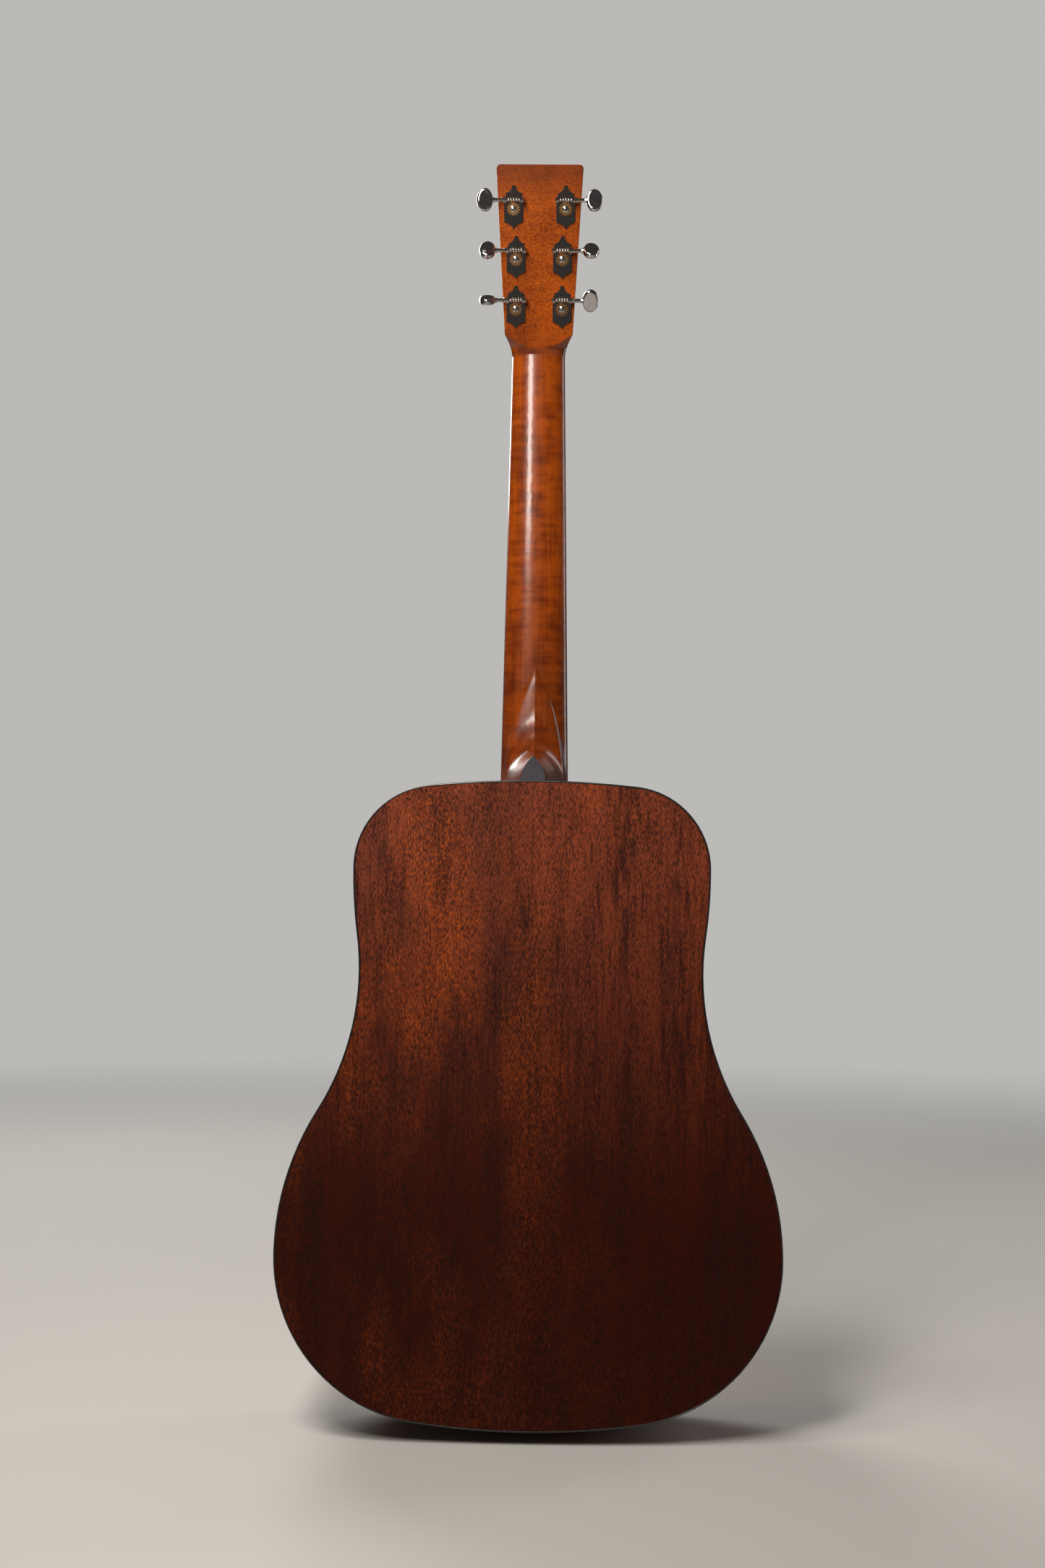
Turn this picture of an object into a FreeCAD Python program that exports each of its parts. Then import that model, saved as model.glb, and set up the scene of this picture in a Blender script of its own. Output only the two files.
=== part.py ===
# Steel-string dreadnought guitar, fourteen frets clear of the body, as an assembly of its separate pieces.
# Frame, in millimetres: +Z runs up the neck, +Y points out of the soundboard, +X is the bass side.
# The origin is the centre of the end pin's outer face, the lowest point of the guitar.

import FreeCAD, Part
import math
import os
import Sketcher
from FreeCAD import Placement, Rotation, Vector

X_AXIS, Y_AXIS, Z_AXIS = Vector(1, 0, 0), Vector(0, 1, 0), Vector(0, 0, 1)
NO_TURN = Rotation()
SHEET = "Sizes"

SIZES = {
    # body
    "tail_height": 10,  # from the end pin's outer face to the tail end of the body
    "body_length": 508,
    "lower_bout": 398.5,
    "waist_width": 272,
    "upper_bout": 284,
    "lower_height": 133,  # where the body is widest, from the tail
    "waist_height": 355,
    "upper_height": 438,
    "corner_radius": 128,
    "waist_radius": 206,
    "shoulder_radius": 66,
    "top_face": 62,  # the soundboard's outer face is this far in front of the end pin
    "tail_depth": 124,
    "joint_depth": 99,
    "back_radius": 4572,  # the back is part of a sphere
    "top_thickness": 2.8,
    "back_thickness": 2.6,
    "side_thickness": 2.0,
    "binding_width": 1.5,
    "binding_height": 6,
    "lining_width": 6,
    "lining_height": 14,
    "block_width": 78,
    "neck_block_reach": 46,
    "tail_block_reach": 30,
    "graft_width": 18,
    "soundhole_radius": 50.8,
    "soundhole_height": 364,
    "rosette_depth": 1,
    # braces
    "brace_width": 8,
    "brace_height": 15,
    "light_brace_width": 6.5,
    "light_brace_height": 9,
    "cross_height": 290,  # where the two long braces cross, from the tail
    "cross_half_angle": 49,
    "bridge_plate_length": 138,
    "bridge_plate_reach": 36,
    "bridge_plate_thickness": 3,
    "back_strip_width": 20,
    "back_strip_thickness": 2,
    # strings and fretboard
    "scale_length": 645.2,
    "nut_width": 44.5,
    "joint_width": 56.5,  # the fretboard where the body starts
    "fretboard_length": 446,
    "fretboard_thickness": 6.2,
    "fretboard_radius": 406,
    "fret_count": 20,
    "fret_width": 2.1,
    "fret_height": 1.1,
    "fret_tang_width": 0.6,
    "fret_tang_depth": 2,
    "marker_radius": 3.1,
    "side_marker_radius": 1.1,
    "marker_depth": 1.5,
    "nut_thickness": 4.8,
    "nut_height": 8.6,
    "nut_string_spread": 38,
    "saddle_string_spread": 54,
    "nut_string_height": 7.4,
    "saddle_string_height": 12.6,
    "string_clearance": 0.1,
    "ball_radius": 2,
    "ball_length": 3.8,
    # neck
    "shaft_depth_nut": 14.3,
    "shaft_depth_joint": 18.5,
    "heel_cap_width": 20.6,
    "heel_cap_length": 19.5,
    "heel_cap_thickness": 3,
    "tenon_width": 34,
    "tenon_length": 20,
    "tenon_height": 84,
    "rod_width": 6.2,
    "rod_height": 7,
    "rod_length": 372,
    "rod_end_radius": 2.5,
    "rod_end_length": 27.5,
    "truss_nut_radius": 4.2,
    "truss_nut_length": 16,
    "turning_clearance": 0.06,
    # headstock
    "head_length": 157.6,
    "head_top_width": 72.5,
    "head_corner_width": 57.2,
    "head_corner_reach": 20,
    "head_thickness": 14.5,
    "head_angle": 15,
    "head_corner_rounding": 3.3,
    "headplate_thickness": 1.8,
    "headplate_gap": 0.4,
    # bridge
    "bridge_width": 152,
    "bridge_thickness": 9.2,
    "bridge_wing_thickness": 3.6,
    "bridge_front": 8,  # ahead of the saddle
    "bridge_rear": 21,  # behind the saddle, at the wings
    "bridge_belly": 7,
    "bridge_wing_length": 34,
    "pin_setback": 14,  # the pins stand this far behind the saddle
    "pin_radius": 2.6,
    "pin_tip_radius": 2.1,
    "pin_length": 20,
    "pin_head_radius": 3.8,
    "pin_head_height": 2.4,
    "saddle_length": 72,
    "saddle_thickness": 3,
    "saddle_slot_depth": 5,
    "saddle_slant": 2.2,  # degrees
    "saddle_setback": 2.5,  # beyond the scale length
    # end pin
    "end_pin_radius": 7,
    "end_pin_rim": 3.6,
    "end_pin_neck_radius": 4.4,
    "end_pin_flange_radius": 5.6,
    "end_pin_shank_radius": 4,
    "end_pin_shank_length": 20,
    # tuners
    "post_first_row": 40.5,
    "post_row_pitch": 40.5,
    "post_spread": 19.3,
    "post_spread_top": 21.6,
    "post_radius": 3,
    "post_height": 14.5,
    "post_gear_seat_radius": 2.2,
    "post_hole_radius": 4.6,
    "winding_height": 6.4,
    "bushing_flange_radius": 5.6,
    "bushing_flange_thickness": 1,
    "bushing_length": 8,
    "plate_thickness": 1.2,
    "plate_width": 15.6,
    "plate_top": 19.2,
    "plate_bottom": 15.4,
    "gear_thickness": 3.2,
    "gear_tip_radius": 5.8,
    "gear_root_radius": 4.4,
    "gear_teeth": 15,
    "gear_pitch_radius": 5.2,
    "gear_tooth_tip": 0.7,
    "gear_tooth_root": 1.05,
    "gear_screw_radius": 2.7,
    "gear_screw_height": 1.4,
    "gear_screw_shank": 1.2,
    "worm_offset": 7.3,  # from the post's axis to the worm's
    "worm_height": 3.6,  # from the plate's outer face to the worm's axis
    "worm_tip_radius": 2.55,
    "worm_core_radius": 1.35,
    "journal_radius": 1.6,
    "ear_thickness": 1.6,
    "ear_radius": 2.5,
    "collar_radius": 2.3,
    "collar_length": 2.4,
    "knob_start": 17,
    "knob_length": 13.4,
    "knob_width": 18.9,
    "knob_thickness": 5.4,
    "knob_rounding": 1.9,
    "screw_head_radius": 1.8,
    "screw_head_height": 0.9,
    "screw_shank_radius": 0.9,
    "screw_length": 9,
}

doc = FreeCAD.newDocument("guitar")
sheet = doc.addObject("Spreadsheet::Sheet", SHEET)
for row, (alias, value) in enumerate(SIZES.items(), start=1):
    sheet.set(f"A{row}", alias)
    sheet.set(f"B{row}", str(value))
    sheet.setAlias(f"B{row}", alias)
doc.recompute()


class Size:
    # A number that remembers the spreadsheet expression it comes from, so that a property can be bound to it.

    def __init__(self, value, text):
        self.value = float(value)
        self.text = text

    def _join(self, sign, value, other, swapped=False):
        other_text = other.text if isinstance(other, Size) else repr(float(other))
        left, right = (other_text, self.text) if swapped else (self.text, other_text)
        return Size(value, f"({left} {sign} {right})")

    def __float__(self):
        return self.value

    def __add__(self, other):
        return self._join("+", self.value + float(other), other)

    def __radd__(self, other):
        return self._join("+", float(other) + self.value, other, swapped=True)

    def __sub__(self, other):
        return self._join("-", self.value - float(other), other)

    def __rsub__(self, other):
        return self._join("-", float(other) - self.value, other, swapped=True)

    def __mul__(self, other):
        return self._join("*", self.value * float(other), other)

    def __rmul__(self, other):
        return self._join("*", float(other) * self.value, other, swapped=True)

    def __truediv__(self, other):
        return self._join("/", self.value / float(other), other)

    def __neg__(self):
        return Size(-self.value, f"(-1 * {self.text})")


class Bound:
    # size.nut_width is the sheet's cell of that name, as a Size.
    def __getattr__(self, name):
        return Size(sheet.get(name), f"{SHEET}.{name}")


class Plain:
    # mm.nut_width is the same cell's plain number.
    def __getattr__(self, name):
        return float(sheet.get(name))


size = Bound()
mm = Plain()


# Document helpers.


def bind(item, path, value):
    # Binds one property to a Size, or sets nothing when the value is a plain number that fits the default.
    if isinstance(value, Size):
        item.setExpression(path, value.text)
    else:
        setattr(item, path, value)


def place(item, at=(0, 0, 0), turn=NO_TURN):
    item.Placement = Placement(Vector(*(float(each) for each in at)), turn)
    for letter, each in zip("xyz", at):
        if isinstance(each, Size):
            item.setExpression(f"Placement.Base.{letter}", each.text)


def box(name, length, width, height, at=(0, 0, 0), turn=NO_TURN):
    item = doc.addObject("Part::Box", name)
    bind(item, "Length", length)
    bind(item, "Width", width)
    bind(item, "Height", height)
    place(item, at, turn)
    return item


def cylinder(name, radius, height, at=(0, 0, 0), turn=NO_TURN):
    item = doc.addObject("Part::Cylinder", name)
    bind(item, "Radius", radius)
    bind(item, "Height", height)
    place(item, at, turn)
    return item


def cone(name, radius, end_radius, height, at=(0, 0, 0), turn=NO_TURN):
    item = doc.addObject("Part::Cone", name)
    bind(item, "Radius1", radius)
    bind(item, "Radius2", end_radius)
    bind(item, "Height", height)
    place(item, at, turn)
    return item


def cut(name, base, tool):
    item = doc.addObject("Part::Cut", name)
    item.Base = base
    item.Tool = tool
    return item


def common(name, base, tool):
    item = doc.addObject("Part::Common", name)
    item.Base = base
    item.Tool = tool
    return item


def fuse(name, items):
    item = doc.addObject("Part::MultiFuse", name)
    item.Shapes = items
    return item


def compound(name, items):
    item = doc.addObject("Part::Compound", name)
    item.Links = items
    return item


def feature(name, shape, placement=None):
    item = doc.addObject("Part::Feature", name)
    item.Shape = shape
    if placement is not None:
        item.Placement = placement
    return item


def new_body(name, at=(0, 0, 0), turn=NO_TURN):
    body = doc.addObject("PartDesign::Body", name)
    place(body, at, turn)
    return body


def sketch_on(body, role):
    sketch = body.newObject("Sketcher::SketchObject", f"{body.Name}_sketch")
    plane = next(each for each in body.Origin.OriginFeatures if each.Role == role)
    sketch.AttachmentSupport = [(plane, "")]
    sketch.MapMode = "FlatFace"
    return sketch


def fix_point(sketch, edge, end, point):
    # Holds one point of a sketch's edge at its distances from the sketch's origin.
    for kind, value in zip(("DistanceX", "DistanceY"), point):
        index = sketch.addConstraint(Sketcher.Constraint(kind, edge, end, float(value)))
        if isinstance(value, Size):
            sketch.setExpression(f"Constraints[{index}]", value.text)


def draw_outline(sketch, corners):
    # A corner is (x, y), or (x, y, middle) when an arc through middle leads to the next corner.
    first = sketch.GeometryCount
    total = len(corners)
    points = [Vector(float(corner[0]), float(corner[1]), 0) for corner in corners]
    ends = []
    for index, corner in enumerate(corners):
        start, finish = points[index], points[(index + 1) % total]
        if len(corner) == 2:
            sketch.addGeometry(Part.LineSegment(start, finish), False)
            ends.append((1, 2))
            continue
        middle = Vector(float(corner[2][0]), float(corner[2][1]), 0)
        anticlockwise = (middle - start).cross(finish - middle).z > 0
        arc = Part.Arc(start, middle, finish) if anticlockwise else Part.Arc(finish, middle, start)
        edge = sketch.addGeometry(arc, False)
        sketch.addConstraint(Sketcher.Constraint("Radius", edge, sketch.Geometry[edge].Radius))
        ends.append((1, 2) if anticlockwise else (2, 1))
    for index in range(total):
        following = (index + 1) % total
        joined = (first + index, ends[index][1], first + following, ends[following][0])
        sketch.addConstraint(Sketcher.Constraint("Coincident", *joined))
    for index, corner in enumerate(corners):
        fix_point(sketch, first + index, ends[index][0], corner[:2])


def mirrored(half):
    # The whole outline of a shape that is the same left and right, from its right half, drawn downwards.
    whole = list(half)
    for index in range(len(half) - 1, -1, -1):
        corner = half[index]
        if float(corner[0]) == 0:
            continue
        flipped = (-corner[0], corner[1])
        if index > 0 and len(half[index - 1]) == 3:
            middle = half[index - 1][2]
            flipped += ((-middle[0], middle[1]),)
        whole.append(flipped)
    last = half[-1]
    if float(last[0]) == 0 and len(half[-2]) == 3:
        middle = half[-2][2]
        whole[len(half) - 1] = (*last, (-middle[0], middle[1]))
    return whole


def draw_circle(sketch, radius, centre=(0, 0)):
    point = Vector(float(centre[0]), float(centre[1]), 0)
    edge = sketch.addGeometry(Part.Circle(point, Z_AXIS, float(radius)), False)
    index = sketch.addConstraint(Sketcher.Constraint("Radius", edge, float(radius)))
    if isinstance(radius, Size):
        sketch.setExpression(f"Constraints[{index}]", radius.text)
    fix_point(sketch, edge, 3, centre)


def pad(body, sketch, length):
    item = body.newObject("PartDesign::Pad", f"{body.Name}_pad")
    item.Profile = sketch
    bind(item, "Length", length)
    return item


def upright_pad(name, corners, thickness, at, turn):
    # A flat piece: its outline, padded by its thickness.
    body = new_body(name, at, turn)
    sketch = sketch_on(body, "XY_Plane")
    draw_outline(sketch, corners)
    pad(body, sketch, thickness)
    return body


def revolve(body, sketch):
    item = body.newObject("PartDesign::Revolution", f"{body.Name}_revolution")
    item.Profile = sketch
    item.ReferenceAxis = (sketch, ["V_Axis"])
    item.Angle = 360
    return item


def turned(name, corners, at=(0, 0, 0), turn=NO_TURN):
    # A turned piece: corners are (radius, height along its own axis).
    body = new_body(name, at, turn)
    sketch = sketch_on(body, "XZ_Plane")
    draw_outline(sketch, corners)
    revolve(body, sketch)
    return body


# The body's outline: seven arcs a side that run into one another, from the tail's centre to the neck's.
# Each arc is (centre across, centre up, radius, start heading, end heading); a hollow one's radius is
# negative.


def body_arcs():
    half_lower = mm.lower_bout / 2
    half_waist = mm.waist_width / 2
    half_upper = mm.upper_bout / 2
    quarter = math.pi / 2
    tail_turn = 2 * math.atan2(mm.lower_height - mm.corner_radius, half_lower - mm.corner_radius)
    tail_radius = mm.corner_radius + (half_lower - mm.corner_radius) / math.sin(tail_turn)

    def waist_run(rise, narrowing):
        # The convex arc that leaves a bout's widest point and meets the hollow waist arc.
        both_radii = (rise ** 2 + narrowing ** 2) / (2 * narrowing)
        return both_radii - mm.waist_radius, math.atan2(rise, both_radii - narrowing)

    side_radius, side_turn = waist_run(mm.waist_height - mm.lower_height, half_lower - half_waist)
    upper_radius, upper_turn = waist_run(mm.upper_height - mm.waist_height, half_upper - half_waist)
    top_rise = mm.body_length - mm.upper_height - mm.shoulder_radius
    top_turn = 2 * math.atan2(top_rise, half_upper - mm.shoulder_radius)
    top_radius = mm.shoulder_radius + (half_upper - mm.shoulder_radius) / math.sin(top_turn)
    return [
        (0, tail_radius, tail_radius, 0, tail_turn),
        (half_lower - mm.corner_radius, mm.lower_height, mm.corner_radius, tail_turn, quarter),
        (half_lower - side_radius, mm.lower_height, side_radius, quarter, quarter + side_turn),
        (half_waist + mm.waist_radius, mm.waist_height, -mm.waist_radius,
         quarter + side_turn, quarter - upper_turn),
        (half_upper - upper_radius, mm.upper_height, upper_radius, quarter - upper_turn, quarter),
        (half_upper - mm.shoulder_radius, mm.upper_height, mm.shoulder_radius,
         quarter, 2 * quarter - top_turn),
        (0, mm.body_length - top_radius, top_radius, 2 * quarter - top_turn, 2 * quarter),
    ]


def outline_wire(inset, front):
    # The outline moved in by inset, in the plane at front along +Y.
    edges = []
    for side in (1, -1):
        half = []
        for across, up, radius, start, end in body_arcs():
            points = []
            for heading in (start, (start + end) / 2, end):
                x = across + (radius - inset) * math.sin(heading)
                z = up - (radius - inset) * math.cos(heading)
                points.append(Vector(side * x, front, z + mm.tail_height))
            if side < 0:
                points.reverse()
            half.append(Part.Arc(*points).toShape())
        edges += half if side > 0 else half[::-1]
    return Part.Wire(edges)


def prism(inset, start, end):
    # Everything inside the outline moved in by inset, between two depths along Y.
    return Part.Face(outline_wire(inset, start)).extrude(Vector(0, end - start, 0))


def ring(outer_inset, inner_inset, start, end):
    return prism(outer_inset, start, end).cut(prism(inner_inset, start - 1, end + 1))


def back_ball(depth):
    # The ball whose surface is the back's outer face moved in by depth. Its seam lies far from the back.
    tail_front = mm.top_face - mm.tail_depth
    joint_front = mm.top_face - mm.joint_depth
    chord = math.hypot(mm.body_length, joint_front - tail_front)
    rise = math.sqrt(mm.back_radius ** 2 - chord ** 2 / 4)
    up = mm.body_length / 2 - rise * (joint_front - tail_front) / chord
    front = (tail_front + joint_front) / 2 + rise * mm.body_length / chord
    return Part.makeSphere(mm.back_radius - depth, Vector(0, front, up + mm.tail_height), X_AXIS)


def half_space(side):
    # A block that covers one half of the body: side 1 is the bass half, -1 the treble half.
    width = mm.lower_bout
    corner = Vector(0 if side > 0 else -width, -mm.tail_depth, 0)
    return Part.makeBox(width, 2 * mm.tail_depth, mm.body_length + 2 * mm.tail_height, corner)


def block_at(width, depth, height, centre, turn=0):
    # A box centred across X and Z on centre, whose front face is at centre's Y, turned about +Y by degrees.
    block = Part.makeBox(width, depth, height, Vector(-width / 2, -depth, -height / 2))
    block.Placement = Placement(centre, Rotation(Y_AXIS, turn))
    return block


def up_from_tail(height):
    return mm.tail_height + height


BACK_LIMIT = mm.top_face - mm.tail_depth - 10  # a depth behind the whole back
INNER_TOP = mm.top_face - mm.top_thickness  # the soundboard's inner face
BODY_TOP = up_from_tail(mm.body_length)
NUT_FRONT = BODY_TOP + mm.scale_length * (1 - 2 ** (-14 / 12))  # the nut's face on the fretboard's side
SADDLE_UP = NUT_FRONT - mm.scale_length - mm.saddle_setback
PIN_UP = SADDLE_UP - mm.pin_setback
SOUNDHOLE_CENTRE = Vector(0, mm.top_face, up_from_tail(mm.soundhole_height))
SIDES = {"bass": 1, "treble": -1}
STRINGS = range(1, 7)
STRING_RADII = dict(zip(STRINGS, (0.15, 0.2, 0.3, 0.41, 0.53, 0.67)))


def make_rosette():
    rings = []
    for inner, outer in ((52.4, 53), (54.2, 57.4), (58.6, 59.2)):
        shell = Part.makeCylinder(outer, mm.rosette_depth, SOUNDHOLE_CENTRE, -Y_AXIS)
        rings.append(shell.cut(Part.makeCylinder(inner, mm.rosette_depth, SOUNDHOLE_CENTRE, -Y_AXIS)))
    return Part.makeCompound(rings)


def make_shell():
    rosette = make_rosette()
    panel = prism(mm.binding_width, INNER_TOP, mm.top_face)
    hole = Part.makeCylinder(mm.soundhole_radius, mm.top_thickness, SOUNDHOLE_CENTRE, -Y_AXIS)
    panel = panel.cut(hole).cut(rosette)
    pieces["rosette"] = feature("rosette", rosette)
    halves = [panel.common(half_space(side)) for side in (1, -1)]
    soundboard = Part.makeCompound([each for half in halves for each in half.Solids])

    binding_front = mm.top_face - mm.binding_height
    tenon_block = tenon()
    top_binding = ring(0, mm.binding_width, binding_front, mm.top_face).cut(tenon_block)
    pieces["top_binding"] = feature("top_binding", top_binding)
    binding_ring = ring(0, mm.binding_width, BACK_LIMIT, 0)
    back_binding = binding_ring.common(back_ball(0)).cut(back_ball(mm.binding_height))
    pieces["back_binding"] = feature("back_binding", back_binding)

    back = prism(mm.binding_width, BACK_LIMIT, 0).common(back_ball(0)).cut(back_ball(mm.back_thickness))
    sides = ring(0, mm.side_thickness, BACK_LIMIT, INNER_TOP).common(back_ball(mm.back_thickness))
    sides = sides.cut(top_binding).cut(back_binding)
    graft_corner = Vector(-mm.graft_width / 2, BACK_LIMIT, 0)
    graft_block = Part.makeBox(mm.graft_width, mm.tail_depth + 20, 20, graft_corner)
    graft = sides.common(graft_block)
    tail_hole = Part.makeCylinder(mm.end_pin_shank_radius, 80)
    sides = sides.cut(graft_block).cut(tenon_block)
    pieces["end_graft"] = feature("end_graft", graft.cut(tail_hole))
    for name, side in SIDES.items():
        pieces[f"back_{name}"] = feature(f"back_{name}", back.common(half_space(side)))
        pieces[f"side_{name}"] = feature(f"side_{name}", sides.common(half_space(side)))
    return soundboard


def tenon():
    # The neck's tenon runs through the sides into the neck block.
    length = mm.tenon_length + mm.side_thickness
    corner = Vector(-mm.tenon_width / 2, INNER_TOP - mm.tenon_height, BODY_TOP - length)
    return Part.makeBox(mm.tenon_width, mm.tenon_height, length, corner)


def inside(inset=0):
    # The room inside the sides and the back.
    return prism(mm.side_thickness + inset, BACK_LIMIT, INNER_TOP).common(back_ball(mm.back_thickness))


def make_blocks():
    room = inside()
    depth = mm.tail_depth + 20
    block_corner = Vector(-mm.block_width / 2, BACK_LIMIT, up_from_tail(0))
    tail = room.common(Part.makeBox(mm.block_width, depth, mm.tail_block_reach, block_corner))
    tail = tail.cut(Part.makeCylinder(mm.end_pin_shank_radius, 80))
    neck_corner = Vector(-mm.block_width / 2, BACK_LIMIT, BODY_TOP - mm.neck_block_reach)
    block = room.common(Part.makeBox(mm.block_width, depth, mm.neck_block_reach, neck_corner))
    block = block.cut(tenon())
    rod_hole = Part.makeCylinder(mm.truss_nut_radius + 0.6, 80, Vector(0, ROD_FRONT, BODY_TOP - 80))
    block = block.cut(rod_hole)
    pieces["tail_block"] = feature("tail_block", tail)
    pieces["neck_block"] = feature("neck_block", block)
    return tail, block


def make_linings(tail, block):
    inner = mm.side_thickness + mm.lining_width
    blocks = [
        Part.makeBox(mm.block_width, 200, mm.tail_block_reach,
                     Vector(-mm.block_width / 2, -100, up_from_tail(0))),
        Part.makeBox(mm.block_width, 200, 60,
                     Vector(-mm.block_width / 2, -100, BODY_TOP - mm.neck_block_reach)),
    ]
    top = ring(mm.side_thickness, inner, INNER_TOP - mm.lining_height, INNER_TOP)
    back = ring(mm.side_thickness, inner, BACK_LIMIT, 0)
    back = back.common(back_ball(mm.back_thickness)).cut(back_ball(mm.back_thickness + mm.lining_height))
    strips = []
    for lining in (top, back):
        for each in blocks:
            lining = lining.cut(each)
        strips += lining.Solids
    pieces["linings"] = feature("linings", Part.makeCompound(strips))


def make_back_braces():
    room = inside(mm.lining_width)
    braces = []
    for height, width, thickness in ((95, 16, 10), (205, 16, 10), (320, 8, 15), (420, 8, 15)):
        shell = room.cut(back_ball(mm.back_thickness + thickness))
        corner = Vector(-mm.lower_bout / 2, BACK_LIMIT, up_from_tail(height) - width / 2)
        braces.append(shell.common(Part.makeBox(mm.lower_bout, mm.tail_depth, width, corner)))
    pieces["back_braces"] = feature("back_braces", Part.makeCompound(braces))
    strip = inside().cut(back_ball(mm.back_thickness + mm.back_strip_thickness))
    strip_length = mm.body_length - mm.tail_block_reach - mm.neck_block_reach
    corner = Vector(-mm.back_strip_width / 2, BACK_LIMIT, up_from_tail(mm.tail_block_reach))
    strip = strip.common(Part.makeBox(mm.back_strip_width, mm.tail_depth, strip_length, corner))
    for brace in braces:
        strip = strip.cut(brace)
    pieces["back_strip"] = feature("back_strip", strip)


def make_top_braces():
    room = inside(mm.lining_width)
    cross = Vector(0, INNER_TOP, up_from_tail(mm.cross_height))
    length = 2 * mm.lower_bout
    lean = mm.cross_half_angle

    def bar(centre, turn, reach, width, height):
        return block_at(width, height, reach, centre, turn).common(room)

    crossing = [bar(cross, turn, length, mm.brace_width, mm.brace_height) for turn in (lean, -lean)]
    shared = crossing[0].common(crossing[1])
    middle = INNER_TOP - mm.brace_height / 2
    lower_half = Part.makeBox(100, 50, 100, Vector(-50, middle - 50, cross.z - 50))
    crossing[0] = crossing[0].cut(shared.common(lower_half))
    crossing[1] = crossing[1].cut(shared.cut(lower_half))
    gate = bar(Vector(0, INNER_TOP, up_from_tail(440)), 90, length, 12, mm.brace_height)
    wrench_hole = Part.makeCylinder(4.5, 60, Vector(0, ROD_FRONT, up_from_tail(410)))
    braces = crossing + [gate.cut(wrench_hole)]
    keep_out = crossing + [gate]
    light = (mm.light_brace_width, mm.light_brace_height)
    tone_bars = ((Vector(18, 0, 165), 62, 250), (Vector(6, 0, 110), 62, 210))
    finger_bars = [(Vector(side * x, 0, z), side * turn, 90) for side in (1, -1)
                   for x, z, turn in ((150, 195, 62), (135, 240, 76))]
    for centre, turn, reach in [*tone_bars, *finger_bars]:
        centre = Vector(centre.x, INNER_TOP, up_from_tail(centre.z))
        piece = bar(centre, turn, reach, *light)
        for other in keep_out:
            piece = piece.cut(other)
        braces.append(max(piece.Solids, key=lambda solid: solid.Volume))
    plate = block_at(mm.bridge_plate_length, mm.bridge_plate_thickness, mm.bridge_plate_reach,
                     Vector(0, INNER_TOP, PIN_UP + 4))
    for other in crossing:
        plate = plate.cut(other)
    plate = max(plate.Solids, key=lambda solid: solid.Volume)
    braces = [each.cut(plate) if each.distToShape(plate)[0] < 0.01 else each for each in braces]
    pieces["top_braces"] = feature("top_braces", Part.makeCompound(braces))
    return plate


# Pieces on the soundboard. A flat piece there is drawn with +x towards the treble side and +y up the neck.

FACE_TURN = Rotation(-X_AXIS, Z_AXIS, Y_AXIS, "ZXY")
ROD_FRONT = mm.top_face - 8.4


def string_across(number, spread):
    # Strings are numbered from the thinnest, on the treble side.
    return spread * (number - 3.5) / 5


def crown_drop(across):
    # The nut, the frets and the saddle follow the fretboard's radius across the strings.
    return mm.fretboard_radius - math.sqrt(mm.fretboard_radius ** 2 - across ** 2)


def tuner_row(number):
    return min(number, 7 - number) - 1


def tuner_side(number):
    return -1 if number <= 3 else 1


def post_across(number):
    spread = mm.post_spread_top if tuner_row(number) == 2 else mm.post_spread
    return tuner_side(number) * spread


def post_along(number):
    return mm.post_first_row + tuner_row(number) * mm.post_row_pitch


def head_placement():
    # Headstock frame: x to the bass side, y out of its face, z along it, from the nut's rear edge.
    start = Vector(0, mm.top_face, NUT_FRONT + mm.nut_thickness)
    return Placement(start, Rotation(X_AXIS, mm.head_angle))


def string_route(number):
    radius = STRING_RADII[number]
    at_saddle = string_across(number, mm.saddle_string_spread)
    at_nut = string_across(number, mm.nut_string_spread)
    up_pin = PIN_UP + mm.pin_radius
    bridge_top = mm.top_face + mm.bridge_thickness
    saddle_up = SADDLE_UP - at_saddle * math.tan(math.radians(mm.saddle_slant))
    over_saddle = mm.top_face + mm.saddle_string_height + radius - crown_drop(at_saddle)
    over_nut = mm.top_face + mm.nut_string_height + radius - crown_drop(at_nut)
    post_side = post_across(number) - tuner_side(number) * (mm.post_radius + radius + mm.string_clearance)
    post_point = Vector(post_side, mm.winding_height, post_along(number))
    return [
        Vector(at_saddle, INNER_TOP - mm.bridge_plate_thickness - mm.ball_radius, up_pin),
        Vector(at_saddle, bridge_top - 0.8, up_pin),
        Vector(at_saddle, over_saddle, saddle_up),
        Vector(at_nut, over_nut, NUT_FRONT),
        head_placement().multVec(post_point),
    ]


def rod_through(points, radius):
    # A round rod along straight runs, mitred at each bend.
    path = Part.makePolygon(points)
    circle = Part.makeCircle(radius, points[0], points[1] - points[0])
    return path.makePipeShell([Part.Wire(circle)], True, True, 1)


def ball_at(number, gap=0):
    # The ball on a string's end, lying across the guitar under the bridge plate, grown by a gap all round.
    start = string_route(number)[0] - Vector(mm.ball_length / 2 + gap, 0, 0)
    return Part.makeCylinder(mm.ball_radius + gap, mm.ball_length + 2 * gap, start, X_AXIS)


def make_strings():
    strings = []
    channels = []
    for number in STRINGS:
        route = string_route(number)
        radius = STRING_RADII[number]
        strings.append(rod_through(route, radius).fuse(ball_at(number)))
        channels.append(rod_through(route, radius + mm.string_clearance / 2))
    pieces["strings"] = feature("strings", Part.makeCompound(strings))
    return feature("string_channels", Part.makeCompound(channels))


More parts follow.
